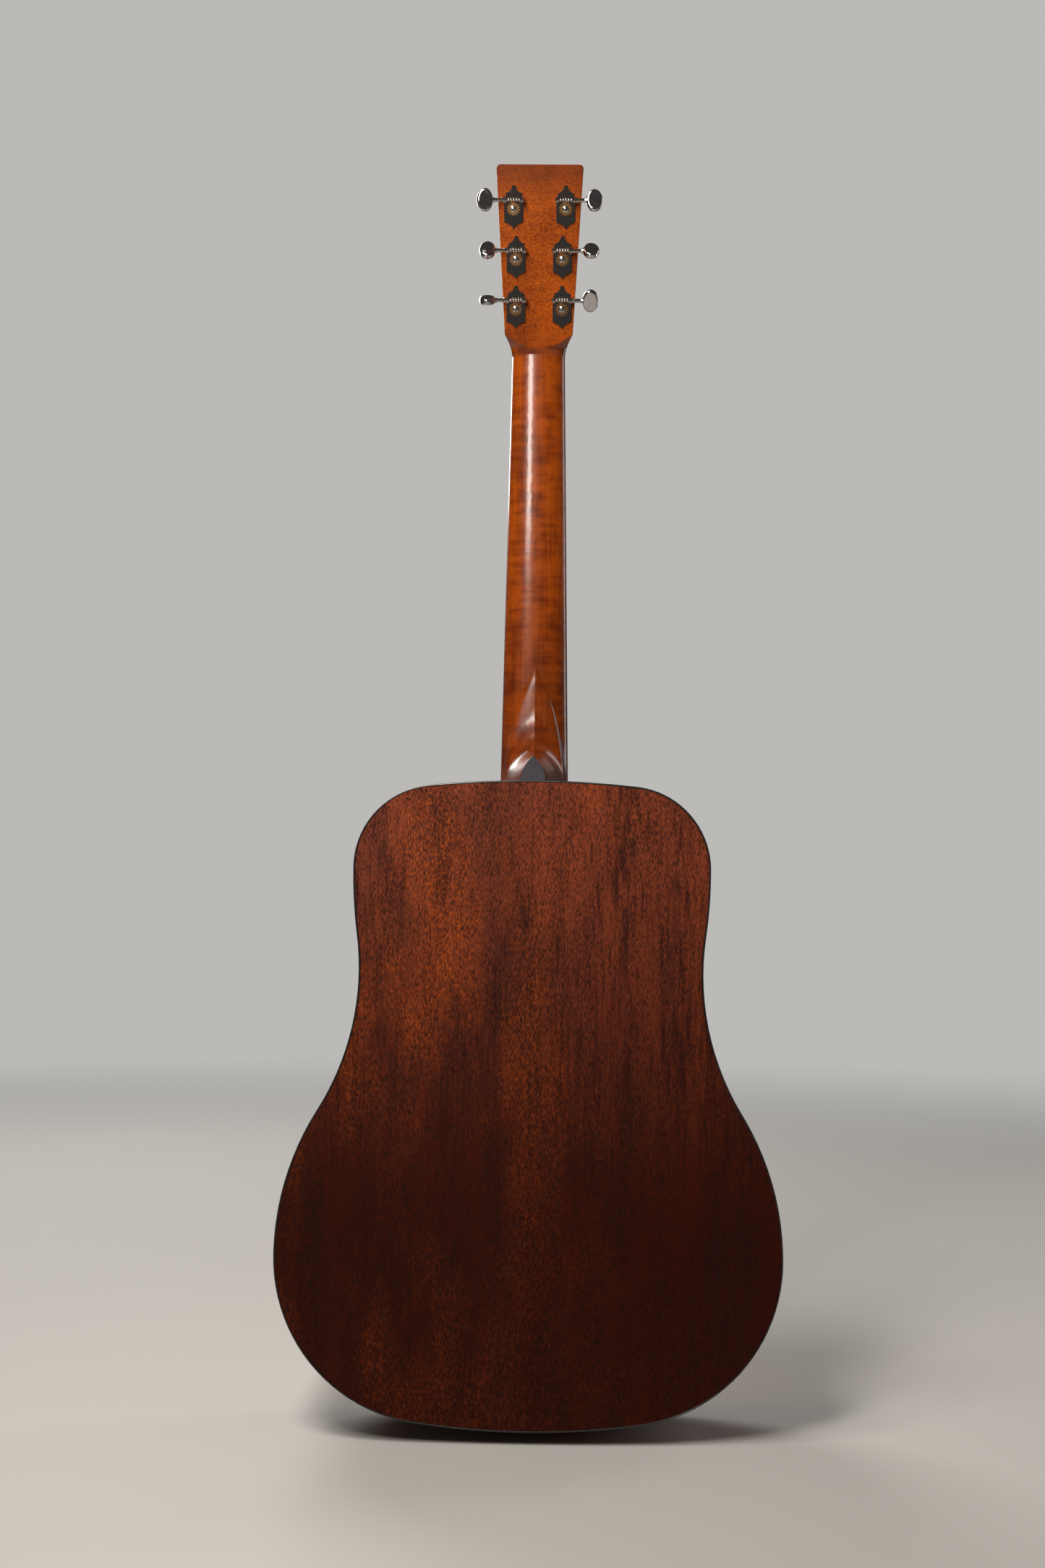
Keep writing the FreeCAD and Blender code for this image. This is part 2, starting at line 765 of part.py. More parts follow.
def make_bridge(channels):
    shoulder = mm.bridge_width / 2 - mm.bridge_wing_length
    silhouette = mirrored([
        (0, size.bridge_thickness),
        (shoulder, size.bridge_thickness),
        (shoulder + 12, size.bridge_wing_thickness),
        (size.bridge_width / 2, size.bridge_wing_thickness - 0.6),
        (size.bridge_width / 2, 0),
        (0, 0),
    ])
    side_view = upright_pad("bridge_silhouette", silhouette, 50, (0, mm.top_face, SADDLE_UP - 35), NO_TURN)
    plan = mirrored([
        (0, size.bridge_front),
        (size.bridge_width / 2 - 3, size.bridge_front, (mm.bridge_width / 2 - 0.9, mm.bridge_front - 0.9)),
        (size.bridge_width / 2, size.bridge_front - 3),
        (size.bridge_width / 2, 3 - size.bridge_rear, (mm.bridge_width / 2 - 0.9, 0.9 - mm.bridge_rear)),
        (size.bridge_width / 2 - 3, -size.bridge_rear),
        (shoulder, -size.bridge_rear, (shoulder / 2, -mm.bridge_rear - mm.bridge_belly * 0.75)),
        (0, -size.bridge_rear - size.bridge_belly),
    ])
    top_view = upright_pad("bridge_plan", plan, size.bridge_thickness, (0, mm.top_face, SADDLE_UP), FACE_TURN)
    blank = common("bridge_blank", side_view, top_view)
    saddle_turn = Rotation(Y_AXIS, mm.saddle_slant)

    def saddle_block(name, height):
        corner = Vector(-mm.saddle_length / 2, 0, -mm.saddle_thickness / 2)
        start = mm.bridge_thickness - mm.saddle_slot_depth
        at = Vector(0, mm.top_face + start, SADDLE_UP) + saddle_turn.multVec(corner)
        return box(name, size.saddle_length, height, size.saddle_thickness, at, saddle_turn)

    slot = saddle_block("saddle_slot", 20)
    bar = saddle_block("saddle_bar", size.saddle_string_height - start_of_saddle())
    arch_at = (0, size.top_face + size.saddle_string_height - size.fretboard_radius, SADDLE_UP - 30)
    arch = cylinder("saddle_arch", size.fretboard_radius, 60, arch_at)
    pieces["saddle"] = cut("saddle", common("saddle_blank", bar, arch), channels)
    tools = compound("bridge_tools", [slot, channels, *make_pins(channels)])
    pieces["bridge"] = cut("bridge", blank, tools)


def start_of_saddle():
    return size.bridge_thickness - size.saddle_slot_depth


def make_pins(channels):
    pins = []
    for number in STRINGS:
        corners = [
            (0, size.pin_head_height),
            (size.pin_head_radius * 0.6, size.pin_head_height * 0.92),
            (size.pin_head_radius, size.pin_head_height * 0.45),
            (size.pin_head_radius, 0.3),
            (size.pin_radius + 0.4, 0),
            (size.pin_radius, 0),
            (size.pin_tip_radius, -size.pin_length),
            (0, -size.pin_length),
        ]
        at = (string_across(number, mm.saddle_string_spread), mm.top_face + mm.bridge_thickness, PIN_UP)
        pins.append(turned(f"pin_{number}", corners, at, Rotation(X_AXIS, -90)))
    rooms = [ball_at(number, mm.string_clearance) for number in STRINGS]
    rooms = compound("pin_rooms", [channels, feature("ball_rooms", Part.makeCompound(rooms))])
    pieces["bridge_pins"] = cut("bridge_pins", compound("pin_blanks", pins), rooms)
    return pins


def pin_holes(name, shape, channels):
    # The strings' and pins' holes through a piece under the bridge.
    return cut(name, feature(f"{name}_blank", shape), compound(f"{name}_holes", [channels, *pin_bodies()]))


def pin_bodies():
    return [doc.getObject(f"pin_{number}") for number in STRINGS]


def make_pickguard():
    # A teardrop on the treble side that follows the soundhole's rim, then widens towards the lower edge.
    radius = mm.soundhole_radius + 10
    centre_up = SOUNDHOLE_CENTRE.z

    def on_rim(degrees):
        angle = math.radians(degrees)
        return (radius * math.cos(angle), centre_up + radius * math.sin(angle))

    corners = [
        (*on_rim(52), on_rim(0)),
        (*on_rim(-78), (26, centre_up - 76)),
        (52, centre_up - 98, (84, centre_up - 99)),
        (101, centre_up - 62, (100, centre_up - 18)),
        (66, centre_up + 36, (52, centre_up + 50)),
    ]
    guard = upright_pad("pickguard", corners, 0.9, (0, mm.top_face, 0), FACE_TURN)
    pieces["pickguard"] = guard


def make_end_pin():
    corners = [
        (0, 0),
        (size.end_pin_radius, 0),
        (size.end_pin_radius, size.end_pin_rim),
        (size.end_pin_neck_radius, size.end_pin_rim + 1.6),
        (size.end_pin_neck_radius, size.tail_height - 1.4),
        (size.end_pin_flange_radius, size.tail_height - 1.0),
        (size.end_pin_flange_radius, size.tail_height),
        (size.end_pin_shank_radius, size.tail_height),
        (size.end_pin_shank_radius, size.tail_height + size.end_pin_shank_length),
        (0, size.tail_height + size.end_pin_shank_length),
    ]
    pieces["end_pin"] = turned("end_pin", corners)


# Neck and headstock.


def board_half_width(up):
    # Half the fretboard's width at a height: it widens evenly from the nut.
    share = (NUT_FRONT - up) / (NUT_FRONT - BODY_TOP)
    return (mm.nut_width + (mm.joint_width - mm.nut_width) * share) / 2


def head_half_width(along):
    # Half the headstock's width: a hollow flare from the nut to its lower corners, then an even taper.
    corner = mm.head_corner_width / 2
    if along < mm.head_corner_reach:
        share = max(along, 0) / mm.head_corner_reach
        return mm.nut_width / 2 + (corner - mm.nut_width / 2) * share ** 1.7
    share = (along - mm.head_corner_reach) / (mm.head_length - mm.head_corner_reach)
    return corner + (mm.head_top_width / 2 - corner) * share


def shaft_section(placement, half_width, depth, lift=0):
    # A rounded section, flat in front, and a little fuller than half an ellipse. Lift raises its flat front.
    points = []
    steps = 20
    fullness = 2 / 2.15
    for step in range(steps + 1):
        angle = math.pi * step / steps
        across = math.copysign(abs(math.cos(angle)) ** fullness, math.cos(angle))
        points.append(placement.multVec(Vector(half_width * across, -depth * math.sin(angle) ** fullness, 0)))
    curve = Part.BSplineCurve()
    curve.interpolate(Points=points, Parameters=list(range(steps + 1)))
    corners = [points[-1], points[0]]
    if lift:
        raised = [placement.multVec(Vector(x, lift, 0)) for x in (-half_width, half_width)]
        corners = [points[-1], *raised, points[0]]
    return Part.Wire([curve.toShape(), *Part.makePolygon(corners).Edges])


def make_shaft():
    # The round shaft, from inside the body's edge to the nut's rear edge.
    sections = []
    top = NUT_FRONT + mm.nut_thickness
    for up in (BODY_TOP - 8, top):
        share = (top - up) / (NUT_FRONT - BODY_TOP)
        depth = mm.shaft_depth_nut + (mm.shaft_depth_joint - mm.shaft_depth_nut) * share
        half_width = (mm.nut_width + (mm.joint_width - mm.nut_width) * share) / 2
        sections.append(shaft_section(Placement(Vector(0, mm.top_face, up), NO_TURN), half_width, depth))
    return Part.makeLoft(sections, True, True)


def make_head():
    # The headstock's slab, carved round where it runs into the shaft: the carving opens out past its corners.
    slab = make_head_slab()
    slab.Placement = head_placement()
    half_nut, lift = mm.nut_width / 2, 4
    level = Placement(head_placement().Base, NO_TURN)
    sections = [shaft_section(level, half_nut, mm.shaft_depth_nut, lift)]
    for along, half_width, depth in ((9, half_nut + 2.4, mm.shaft_depth_nut + 0.6),
                                     (26, mm.head_corner_width * 0.74, mm.head_thickness * 1.8)):
        tilted = head_placement() * Placement(Vector(0, 0, along), NO_TURN)
        sections.append(shaft_section(tilted, half_width, depth, lift))
    carving = Part.makeLoft(sections, True, True)
    beyond = Part.makeBox(200, 200, 200, Vector(-100, -100, 26))
    beyond.Placement = head_placement()
    return slab.common(carving), slab.common(beyond)


def heel_length(depth):
    # How far the heel reaches up the neck from the body: a short step at the cap that sweeps into the shaft.
    sweep = 290 / (max(depth, 17.5) - 14)
    return mm.heel_cap_length - 290 / (mm.joint_depth - 14) + sweep + max(0, 17.5 - depth)


def ogive(depth, half_width, length):
    # A pointed arch in a plane parallel to the soundboard, with its foot just inside the body's edge.
    front = mm.top_face - depth
    foot = BODY_TOP - 8
    tip = Vector(0, front, BODY_TOP + length)
    wire = []
    for side in (1, -1):
        low = Vector(side * half_width, front, foot)
        start = Vector(side * half_width, front, BODY_TOP)
        middle = Vector(side * half_width * 0.72, front, BODY_TOP + length / 2)
        edges = [Part.makeLine(low, start), Part.Arc(start, middle, tip).toShape()]
        wire += edges if side > 0 else [Part.Arc(tip, middle, start).toShape(), Part.makeLine(start, low)]
    wire.append(Part.makeLine(Vector(-half_width, front, foot), Vector(half_width, front, foot)))
    return Part.Wire(wire)


def make_heel():
    wires = []
    cap_inside = mm.joint_depth - mm.heel_cap_thickness
    for depth in (0.5, 9, 17.5, 26, 36, 48, 62, 78, cap_inside):
        share = depth / mm.joint_depth
        half_width = (mm.joint_width + (mm.heel_cap_width - mm.joint_width) * share) / 2
        wires.append(ogive(depth, half_width, heel_length(depth)))
    return Part.makeLoft(wires, True, False, False, 3)


def make_head_slab():
    corner = mm.head_top_width / 2
    steps = 8
    heights = [mm.head_corner_reach * step / steps for step in range(steps + 1)]
    flare = [Vector(head_half_width(along), 0, along) for along in heights]
    curve = Part.BSplineCurve()
    curve.interpolate(flare)
    edges = []
    for side in (1, -1):
        flip = Placement() if side > 0 else Placement(Vector(), Rotation(Z_AXIS, 180))
        low, high = flip.multVec(flare[-1]), flip.multVec(Vector(corner, 0, mm.head_length))
        flared = curve.toShape()
        flared.Placement = flip
        edges += [flared, Part.makeLine(low, high)]
    edges.append(Part.makeLine(Vector(corner, 0, mm.head_length), Vector(-corner, 0, mm.head_length)))
    edges.append(Part.makeLine(flare[0], Vector(-flare[0].x, 0, 0)))
    wire = Part.Wire(Part.__sortEdges__(edges))
    slab = Part.Face(wire).extrude(Vector(0, -mm.head_thickness, 0))
    corners = [edge for edge in slab.Edges if abs(abs(edge.CenterOfMass.x) - corner) < 0.1
               and abs(edge.CenterOfMass.z - mm.head_length) < 0.1]
    slab = slab.makeFillet(mm.head_corner_rounding, corners)
    rim = [edge for edge in slab.Edges if abs(edge.CenterOfMass.y + mm.head_thickness) < 0.01
           and edge.CenterOfMass.z > mm.head_corner_reach + 1]
    return slab.makeFillet(0.8, rim)


def tuner_placement(number):
    # Tuner frame: x to the bass side, y up the headstock, z out of its back, from the post on its face.
    at = Vector(post_across(number), -mm.head_thickness, post_along(number))
    return head_placement() * Placement(at, Rotation(X_AXIS, 90))


def screw_places(number):
    # The plate's three screws, across and along from the post: at its top, its foot and low on its left.
    return ((0, 15.2), (-0.4, -10.6), (-4.6, -5.9))


def make_neck():
    throat, head = make_head()
    wood = make_shaft().fuse(make_heel()).cut(prism(0, BACK_LIMIT, mm.top_face + 1))
    wood = wood.fuse([tenon(), throat, head])
    rod_corner = Vector(-mm.rod_width / 2, ROD_FRONT - mm.rod_height / 2, BODY_TOP - mm.tenon_length - 2)
    wood = wood.cut(Part.makeBox(mm.rod_width, mm.rod_height, mm.rod_length, rod_corner))
    tools = []
    for number in STRINGS:
        post_hole = Part.makeCylinder(mm.post_hole_radius, mm.head_thickness, Vector(), -Z_AXIS)
        drill = mm.screw_length - mm.plate_thickness
        screws = [Part.makeCylinder(mm.screw_shank_radius, drill, Vector(x, y, 0), -Z_AXIS)
                  for x, y in screw_places(number)]
        for tool in (post_hole, *screws):
            tool.Placement = tuner_placement(number)
            tools.append(tool)
    wood = wood.cut(tools)
    pieces["neck"] = feature("neck", wood)


def make_truss_rod():
    low = BODY_TOP - mm.tenon_length - 2
    bar = box("rod_bar", size.rod_width, size.rod_height, size.rod_length,
              (-size.rod_width / 2, ROD_FRONT - mm.rod_height / 2, low))
    end_at = (0, ROD_FRONT, low - mm.rod_end_length)
    end = cylinder("rod_end", size.rod_end_radius, size.rod_end_length, end_at)
    pieces["truss_rod"] = fuse("truss_rod", [bar, end])
    nut_low = low - mm.rod_end_length - 6
    nut = cylinder("truss_nut_blank", size.truss_nut_radius, size.truss_nut_length, (0, ROD_FRONT, nut_low))
    bore_radius = size.rod_end_radius + size.turning_clearance
    bore = cylinder("truss_nut_bore", bore_radius, 12, (0, ROD_FRONT, nut_low + 5.5))
    socket = doc.addObject("Part::Prism", "truss_nut_socket")
    socket.Polygon = 6
    socket.Circumradius = 2.9
    socket.Height = 5
    place(socket, (0, ROD_FRONT, nut_low))
    pieces["truss_nut"] = cut("truss_nut", nut, compound("truss_nut_tools", [bore, socket]))


def make_heel_cap():
    half = size.heel_cap_width / 2
    corners = [
        (half, -3),
        (half, 0, (mm.heel_cap_width / 2 * 0.72, mm.heel_cap_length / 2)),
        (0, size.heel_cap_length, (-mm.heel_cap_width / 2 * 0.72, mm.heel_cap_length / 2)),
        (-half, 0),
        (-half, -3),
    ]
    at = (0, size.top_face - size.joint_depth, BODY_TOP)
    blank = upright_pad("heel_cap_blank", corners, size.heel_cap_thickness, at, FACE_TURN)
    room = feature("heel_cap_room", prism(0, BACK_LIMIT, 0))
    pieces["heel_cap"] = cut("heel_cap", blank, room)


def board_prism(start, end, low, high, overhang=0):
    # The fretboard's tapering outline between two heights up the neck, from depth start to end along Y.
    corners = [(board_half_width(up) + overhang, up) for up in (low, high)]
    outline = corners + [(-x, z) for x, z in reversed(corners)]
    wire = Part.makePolygon([Vector(x, start, z) for x, z in [*outline, outline[0]]])
    return Part.Face(wire).extrude(Vector(0, end - start, 0))


def fret_up(number):
    return NUT_FRONT - mm.scale_length * (1 - 2 ** (-number / 12))


def make_fretboard():
    low = NUT_FRONT - mm.fretboard_length
    top = mm.top_face + mm.fretboard_thickness
    axis_at = Vector(0, top - mm.fretboard_radius, low)
    crown = Part.makeCylinder(mm.fretboard_radius, mm.fretboard_length, axis_at, Z_AXIS)
    board = board_prism(mm.top_face, top, low, NUT_FRONT).common(crown)

    frets = []
    for number in range(1, int(mm.fret_count) + 1):
        up = fret_up(number)
        half, tang = mm.fret_width / 2, mm.fret_tang_width / 2
        surface = mm.fretboard_radius
        start = [Vector(0, surface, -half), Vector(0, surface + mm.fret_height, 0), Vector(0, surface, half)]
        deep = surface - mm.fret_tang_depth
        path = [start[2], Vector(0, surface, tang), Vector(0, deep, tang), Vector(0, deep, -tang),
                Vector(0, surface, -tang), start[0]]
        section = Part.Face(Part.Wire([Part.Arc(*start).toShape(), *Part.makePolygon(path).Edges]))
        section.Placement = Placement(Vector(0, axis_at.y, up), Rotation(Z_AXIS, -6))
        fret = section.revolve(Vector(0, axis_at.y, 0), Z_AXIS, 12)
        trim = board_prism(mm.top_face, top + 5, up - 5, up + 5, -0.15)
        frets.append(fret.common(trim))
    pieces["frets"] = feature("frets", Part.makeCompound(frets))

    markers = []
    for number, across in ((3, 0), (5, 0), (7, 0), (9, 0), (12, 14), (12, -14), (15, 0), (17, 0)):
        up = (fret_up(number) + fret_up(number - 1)) / 2
        dot = Part.makeCylinder(mm.marker_radius, 10, Vector(across, top - mm.marker_depth, up), Y_AXIS)
        markers.append(dot.common(crown))
        if number != 12 or across > 0:
            edge = board_half_width(up) - mm.marker_depth
            side_at = Vector(edge, mm.top_face + mm.fretboard_thickness * 0.45, up)
            side_dot = Part.makeCylinder(mm.side_marker_radius, 6, side_at, X_AXIS)
            markers.append(side_dot.common(board_prism(mm.top_face, top, low, NUT_FRONT)))
    pieces["fret_markers"] = feature("fret_markers", Part.makeCompound(markers))
    board = board.cut([*frets, *markers])
    pieces["fretboard"] = feature("fretboard", board)


def make_nut(channels):
    blank = new_body("nut_blank", (-mm.nut_width / 2, mm.top_face, NUT_FRONT))
    sketch = sketch_on(blank, "YZ_Plane")
    draw_outline(sketch, [
        (0, 0),
        (size.nut_height, 0),
        (size.nut_height, 1.6),
        (size.nut_height - 1.6, size.nut_thickness),
        (0, size.nut_thickness),
    ])
    pad(blank, sketch, size.nut_width)
    arch_at = (0, size.top_face + size.nut_height - size.fretboard_radius, NUT_FRONT - 5)
    arch = cylinder("nut_arch", size.fretboard_radius, 20, arch_at)
    pieces["nut"] = cut("nut", common("nut_arched", blank, arch), channels)


def make_headplate():
    start = mm.headplate_gap
    steps = 4
    flare = [(head_half_width(mm.head_corner_reach * step / steps), mm.head_corner_reach * step / steps)
             for step in range(1, steps + 1)]
    top = mm.head_top_width / 2
    rounding = mm.head_corner_rounding
    half = [(0, mm.head_length), (top - rounding, mm.head_length, (top - 0.7, mm.head_length - 0.8)),
            (top - 0.1, mm.head_length - rounding), *reversed(flare), (mm.nut_width / 2, start), (0, start)]
    placement = head_placement() * Placement(Vector(), FACE_TURN)
    plate = upright_pad("headplate_blank", mirrored(half), size.headplate_thickness, (0, 0, 0), NO_TURN)
    plate.Placement = placement
    holes = []
    for number in STRINGS:
        hole = cylinder(f"headplate_hole_{number}", size.post_hole_radius, size.head_thickness + 10)
        hole.Placement = tuner_placement(number) * Placement(Vector(), Rotation(X_AXIS, 180))
        holes.append(hole)
    pieces["headplate"] = cut("headplate", plate, compound("headplate_holes", holes))


# Tuners. Each has its own frame: x to the bass side, y up the headstock, z out of the headstock's back,
# from the wood's surface at the post's axis.

GEAR_START = mm.plate_thickness + mm.worm_height - mm.gear_thickness / 2
WORM_AXIS = mm.plate_thickness + mm.worm_height
WORM_PITCH = 2 * math.pi * mm.gear_pitch_radius / mm.gear_teeth


def on_tuner(item, number, at=(0, 0, 0), turn=NO_TURN):
    item.Placement = tuner_placement(number) * Placement(Vector(*(float(each) for each in at)), turn)
    return item


def make_plate(number):
    half = size.plate_width / 2
    outline = mirrored([
        (0, size.plate_top),
        (1.3, size.plate_top),
        (1.6, size.plate_top - 1.6, (3.3, mm.plate_top - 4.4)),
        (half - 0.9, size.plate_top - 6.1),
        (half - 1.5, size.plate_top - 7.6),
        (half, size.plate_top - 9),
        (half, 5.4 - size.plate_bottom, (5, 4.2 - mm.plate_bottom)),
        (2.6, 3 - size.plate_bottom),
        (0, -size.plate_bottom),
    ])
    blank = upright_pad(f"plate_blank_{number}", outline, size.plate_thickness, (0, 0, 0), NO_TURN)
    plate = on_tuner(blank, number)
    parts = [plate]
    for side in (1, -1):
        edge = mm.plate_width / 2 - (mm.ear_thickness if side > 0 else 0)
        corner = (edge if side > 0 else -edge, mm.worm_offset - mm.ear_radius, 0)
        ear = box(f"ear_{number}_{side}", size.ear_thickness, 2 * size.ear_radius,
                  size.plate_thickness + size.worm_height)
        parts.append(on_tuner(ear, number, corner))
        boss = cylinder(f"ear_boss_{number}_{side}", size.ear_radius, size.ear_thickness)
        boss_at = (edge if side > 0 else -edge, mm.worm_offset, WORM_AXIS)
        parts.append(on_tuner(boss, number, boss_at, Rotation(Y_AXIS, 90)))
    bore = cylinder(f"ear_bore_{number}", size.journal_radius + size.turning_clearance, 2 * size.plate_width)
    tools = [on_tuner(bore, number, (-mm.plate_width, mm.worm_offset, WORM_AXIS), Rotation(Y_AXIS, 90))]
    post_bore = cylinder(f"plate_bore_{number}", size.post_radius + size.turning_clearance, 10)
    tools.append(on_tuner(post_bore, number, (0, 0, -5)))
    for index, (x, y) in enumerate(screw_places(number)):
        hole = cylinder(f"plate_hole_{number}_{index}", size.screw_shank_radius, 10)
        tools.append(on_tuner(hole, number, (x, y, -5)))
    body = fuse(f"plate_body_{number}", parts)
    return cut(f"plate_{number}", body, compound(f"plate_tools_{number}", tools))


def make_plate_screws(number):
    screws = []
    for index, (x, y) in enumerate(screw_places(number)):
        top = size.plate_thickness
        corners = [
            (0, top + size.screw_head_height),
            (size.screw_head_radius * 0.6, top + size.screw_head_height * 0.88),
            (size.screw_head_radius, top),
            (size.screw_shank_radius, top),
            (size.screw_shank_radius, top - size.screw_length + 1),
            (0, top - size.screw_length),
        ]
        screws.append(on_tuner(turned(f"plate_screw_{number}_{index}", corners), number, (x, y, 0)))
    return screws


def make_bushing(number):
    face = -size.head_thickness - size.headplate_thickness
    bore = size.post_radius + size.turning_clearance
    corners = [
        (bore, face - size.bushing_flange_thickness),
        (size.bushing_flange_radius - 0.5, face - size.bushing_flange_thickness),
        (size.bushing_flange_radius, face - size.bushing_flange_thickness + 0.5),
        (size.bushing_flange_radius, face),
        (size.post_hole_radius, face),
        (size.post_hole_radius, face + size.bushing_length),
        (bore, face + size.bushing_length),
    ]
    return on_tuner(turned(f"bushing_{number}", corners), number)


def make_post(number):
    end = -size.head_thickness - size.post_height
    shoulder = size.plate_thickness + size.worm_height - size.gear_thickness / 2
    seat_end = shoulder + size.gear_thickness
    corners = [
        (0, end),
        (size.post_radius - 0.7, end),
        (size.post_radius, end + 0.7),
        (size.post_radius, shoulder),
        (size.post_gear_seat_radius, shoulder),
        (size.post_gear_seat_radius, seat_end),
        (size.gear_screw_shank, seat_end),
        (size.gear_screw_shank, seat_end - 4),
        (0, seat_end - 4),
    ]
    post = on_tuner(turned(f"post_blank_{number}", corners), number)
    eye = cylinder(f"post_eye_{number}", 0.9, 20)
    eye_level = -mm.head_thickness - mm.winding_height - 2.4
    on_tuner(eye, number, (0, -10, eye_level), Rotation(X_AXIS, -90))
    drilled = cut(f"post_drilled_{number}", post, eye)
    radius = STRING_RADII[number]
    level = mm.winding_height - 2 * radius - mm.string_clearance
    floor = mm.headplate_thickness + mm.bushing_flange_thickness + 0.1
    turns = min(4, 1 + int((level - radius - floor) / (2 * radius)))
    rings = []
    for index in range(turns):
        winding = doc.addObject("Part::Torus", f"winding_{number}_{index}")
        winding.Radius1 = mm.post_radius + radius
        winding.Radius2 = radius
        ring_level = -mm.head_thickness - level + 2 * radius * index
        rings.append(on_tuner(winding, number, (0, 0, ring_level)))
    pieces[f"post_{number}"] = compound(f"post_{number}", [drilled, *rings])


def make_gear(number):
    shoulder = size.plate_thickness + size.worm_height - size.gear_thickness / 2
    body = new_body(f"gear_wheel_{number}")
    disc = sketch_on(body, "XY_Plane")
    draw_circle(disc, size.gear_root_radius)
    draw_circle(disc, size.post_gear_seat_radius)
    pad(body, disc, size.gear_thickness)
    tooth_sketch = sketch_on(body, "XY_Plane")
    half_root, half_tip = size.gear_tooth_root / 2, size.gear_tooth_tip / 2
    sunk = size.gear_root_radius - 0.4
    draw_outline(tooth_sketch, [(half_root, sunk), (half_tip, size.gear_tip_radius),
                                (-half_tip, size.gear_tip_radius), (-half_root, sunk)])
    tooth = pad(body, tooth_sketch, size.gear_thickness)
    doc.recompute()
    pattern = body.newObject("PartDesign::PolarPattern", f"gear_teeth_{number}")
    pattern.Originals = [tooth]
    pattern.Axis = (tooth_sketch, ["N_Axis"])
    pattern.Angle = 360
    pattern.Occurrences = int(mm.gear_teeth)
    body.Tip = pattern
    on_tuner(body, number, (0, 0, GEAR_START))
    head_start = shoulder + size.gear_thickness
    corners = [
        (0, head_start + size.gear_screw_height),
        (size.gear_screw_radius * 0.6, head_start + size.gear_screw_height * 0.85),
        (size.gear_screw_radius, head_start + size.gear_screw_height * 0.3),
        (size.gear_screw_radius, head_start),
        (size.gear_screw_shank, head_start),
        (size.gear_screw_shank, head_start - 4),
        (0, head_start - 4),
    ]
    screw = on_tuner(turned(f"gear_screw_{number}", corners), number)
    slot = box(f"gear_screw_slot_{number}", 2 * size.gear_screw_radius, 0.6, 3)
    slot_at = (-mm.gear_screw_radius, -0.3, GEAR_START + mm.gear_thickness + mm.gear_screw_height - 0.7)
    slotted = cut(f"gear_screw_slotted_{number}", screw, on_tuner(slot, number, slot_at))
    pieces[f"gear_{number}"] = compound(f"gear_{number}", [body, slotted])


def worm_turn(number):
    # The worm's own frame: z outwards along its shaft, x towards the gear.
    side = tuner_side(number)
    return Rotation(-Y_AXIS, Z_AXIS * -side, X_AXIS * side, "ZXY")


def make_worm_shaft(number):
    edge = size.plate_width / 2
    body = new_body(f"worm_shaft_{number}")
    sketch = sketch_on(body, "XZ_Plane")
    draw_outline(sketch, [
        (0, -edge - 1),
        (size.collar_radius - 0.5, -edge - 1),
        (size.collar_radius, -edge - 0.6),
        (size.collar_radius, -edge - 0.1),
        (size.journal_radius, -edge - 0.1),
        (size.journal_radius, size.ear_thickness - edge + 0.05),
        (size.worm_core_radius, size.ear_thickness - edge + 0.05),
        (size.worm_core_radius, edge - size.ear_thickness - 0.05),
        (size.journal_radius, edge - size.ear_thickness - 0.05),
        (size.journal_radius, edge + 0.1),
        (size.collar_radius, edge + 0.1),
        (size.collar_radius, edge + size.collar_length - 0.5),
        (size.journal_radius, edge + size.collar_length),
        (size.journal_radius, size.knob_start + 3),
        (0, size.knob_start + 3),
    ])
    revolve(body, sketch)
    doc.recompute()
    thread_sketch = sketch_on(body, "XZ_Plane")
    start = -2.5 * WORM_PITCH
    draw_outline(thread_sketch, [
        (size.worm_core_radius - 0.2, start - 0.5),
        (size.worm_tip_radius, start - 0.25),
        (size.worm_tip_radius, start + 0.25),
        (size.worm_core_radius - 0.2, start + 0.5),
    ])
    thread = body.newObject("PartDesign::AdditiveHelix", f"worm_thread_{number}")
    thread.Profile = thread_sketch
    thread.ReferenceAxis = (thread_sketch, ["V_Axis"])
    thread.Mode = 0
    thread.Pitch = WORM_PITCH
    thread.Height = 5 * WORM_PITCH
    body.Tip = thread
    on_tuner(body, number, (0, mm.worm_offset, WORM_AXIS), worm_turn(number))
    pieces[f"worm_shaft_{number}"] = body


# Knobs: how far each was left turned about its shaft, from lying flat, in degrees.
KNOB_TURNS = {1: 78, 2: 50, 3: 4, 4: 22, 5: 58, 6: -18}


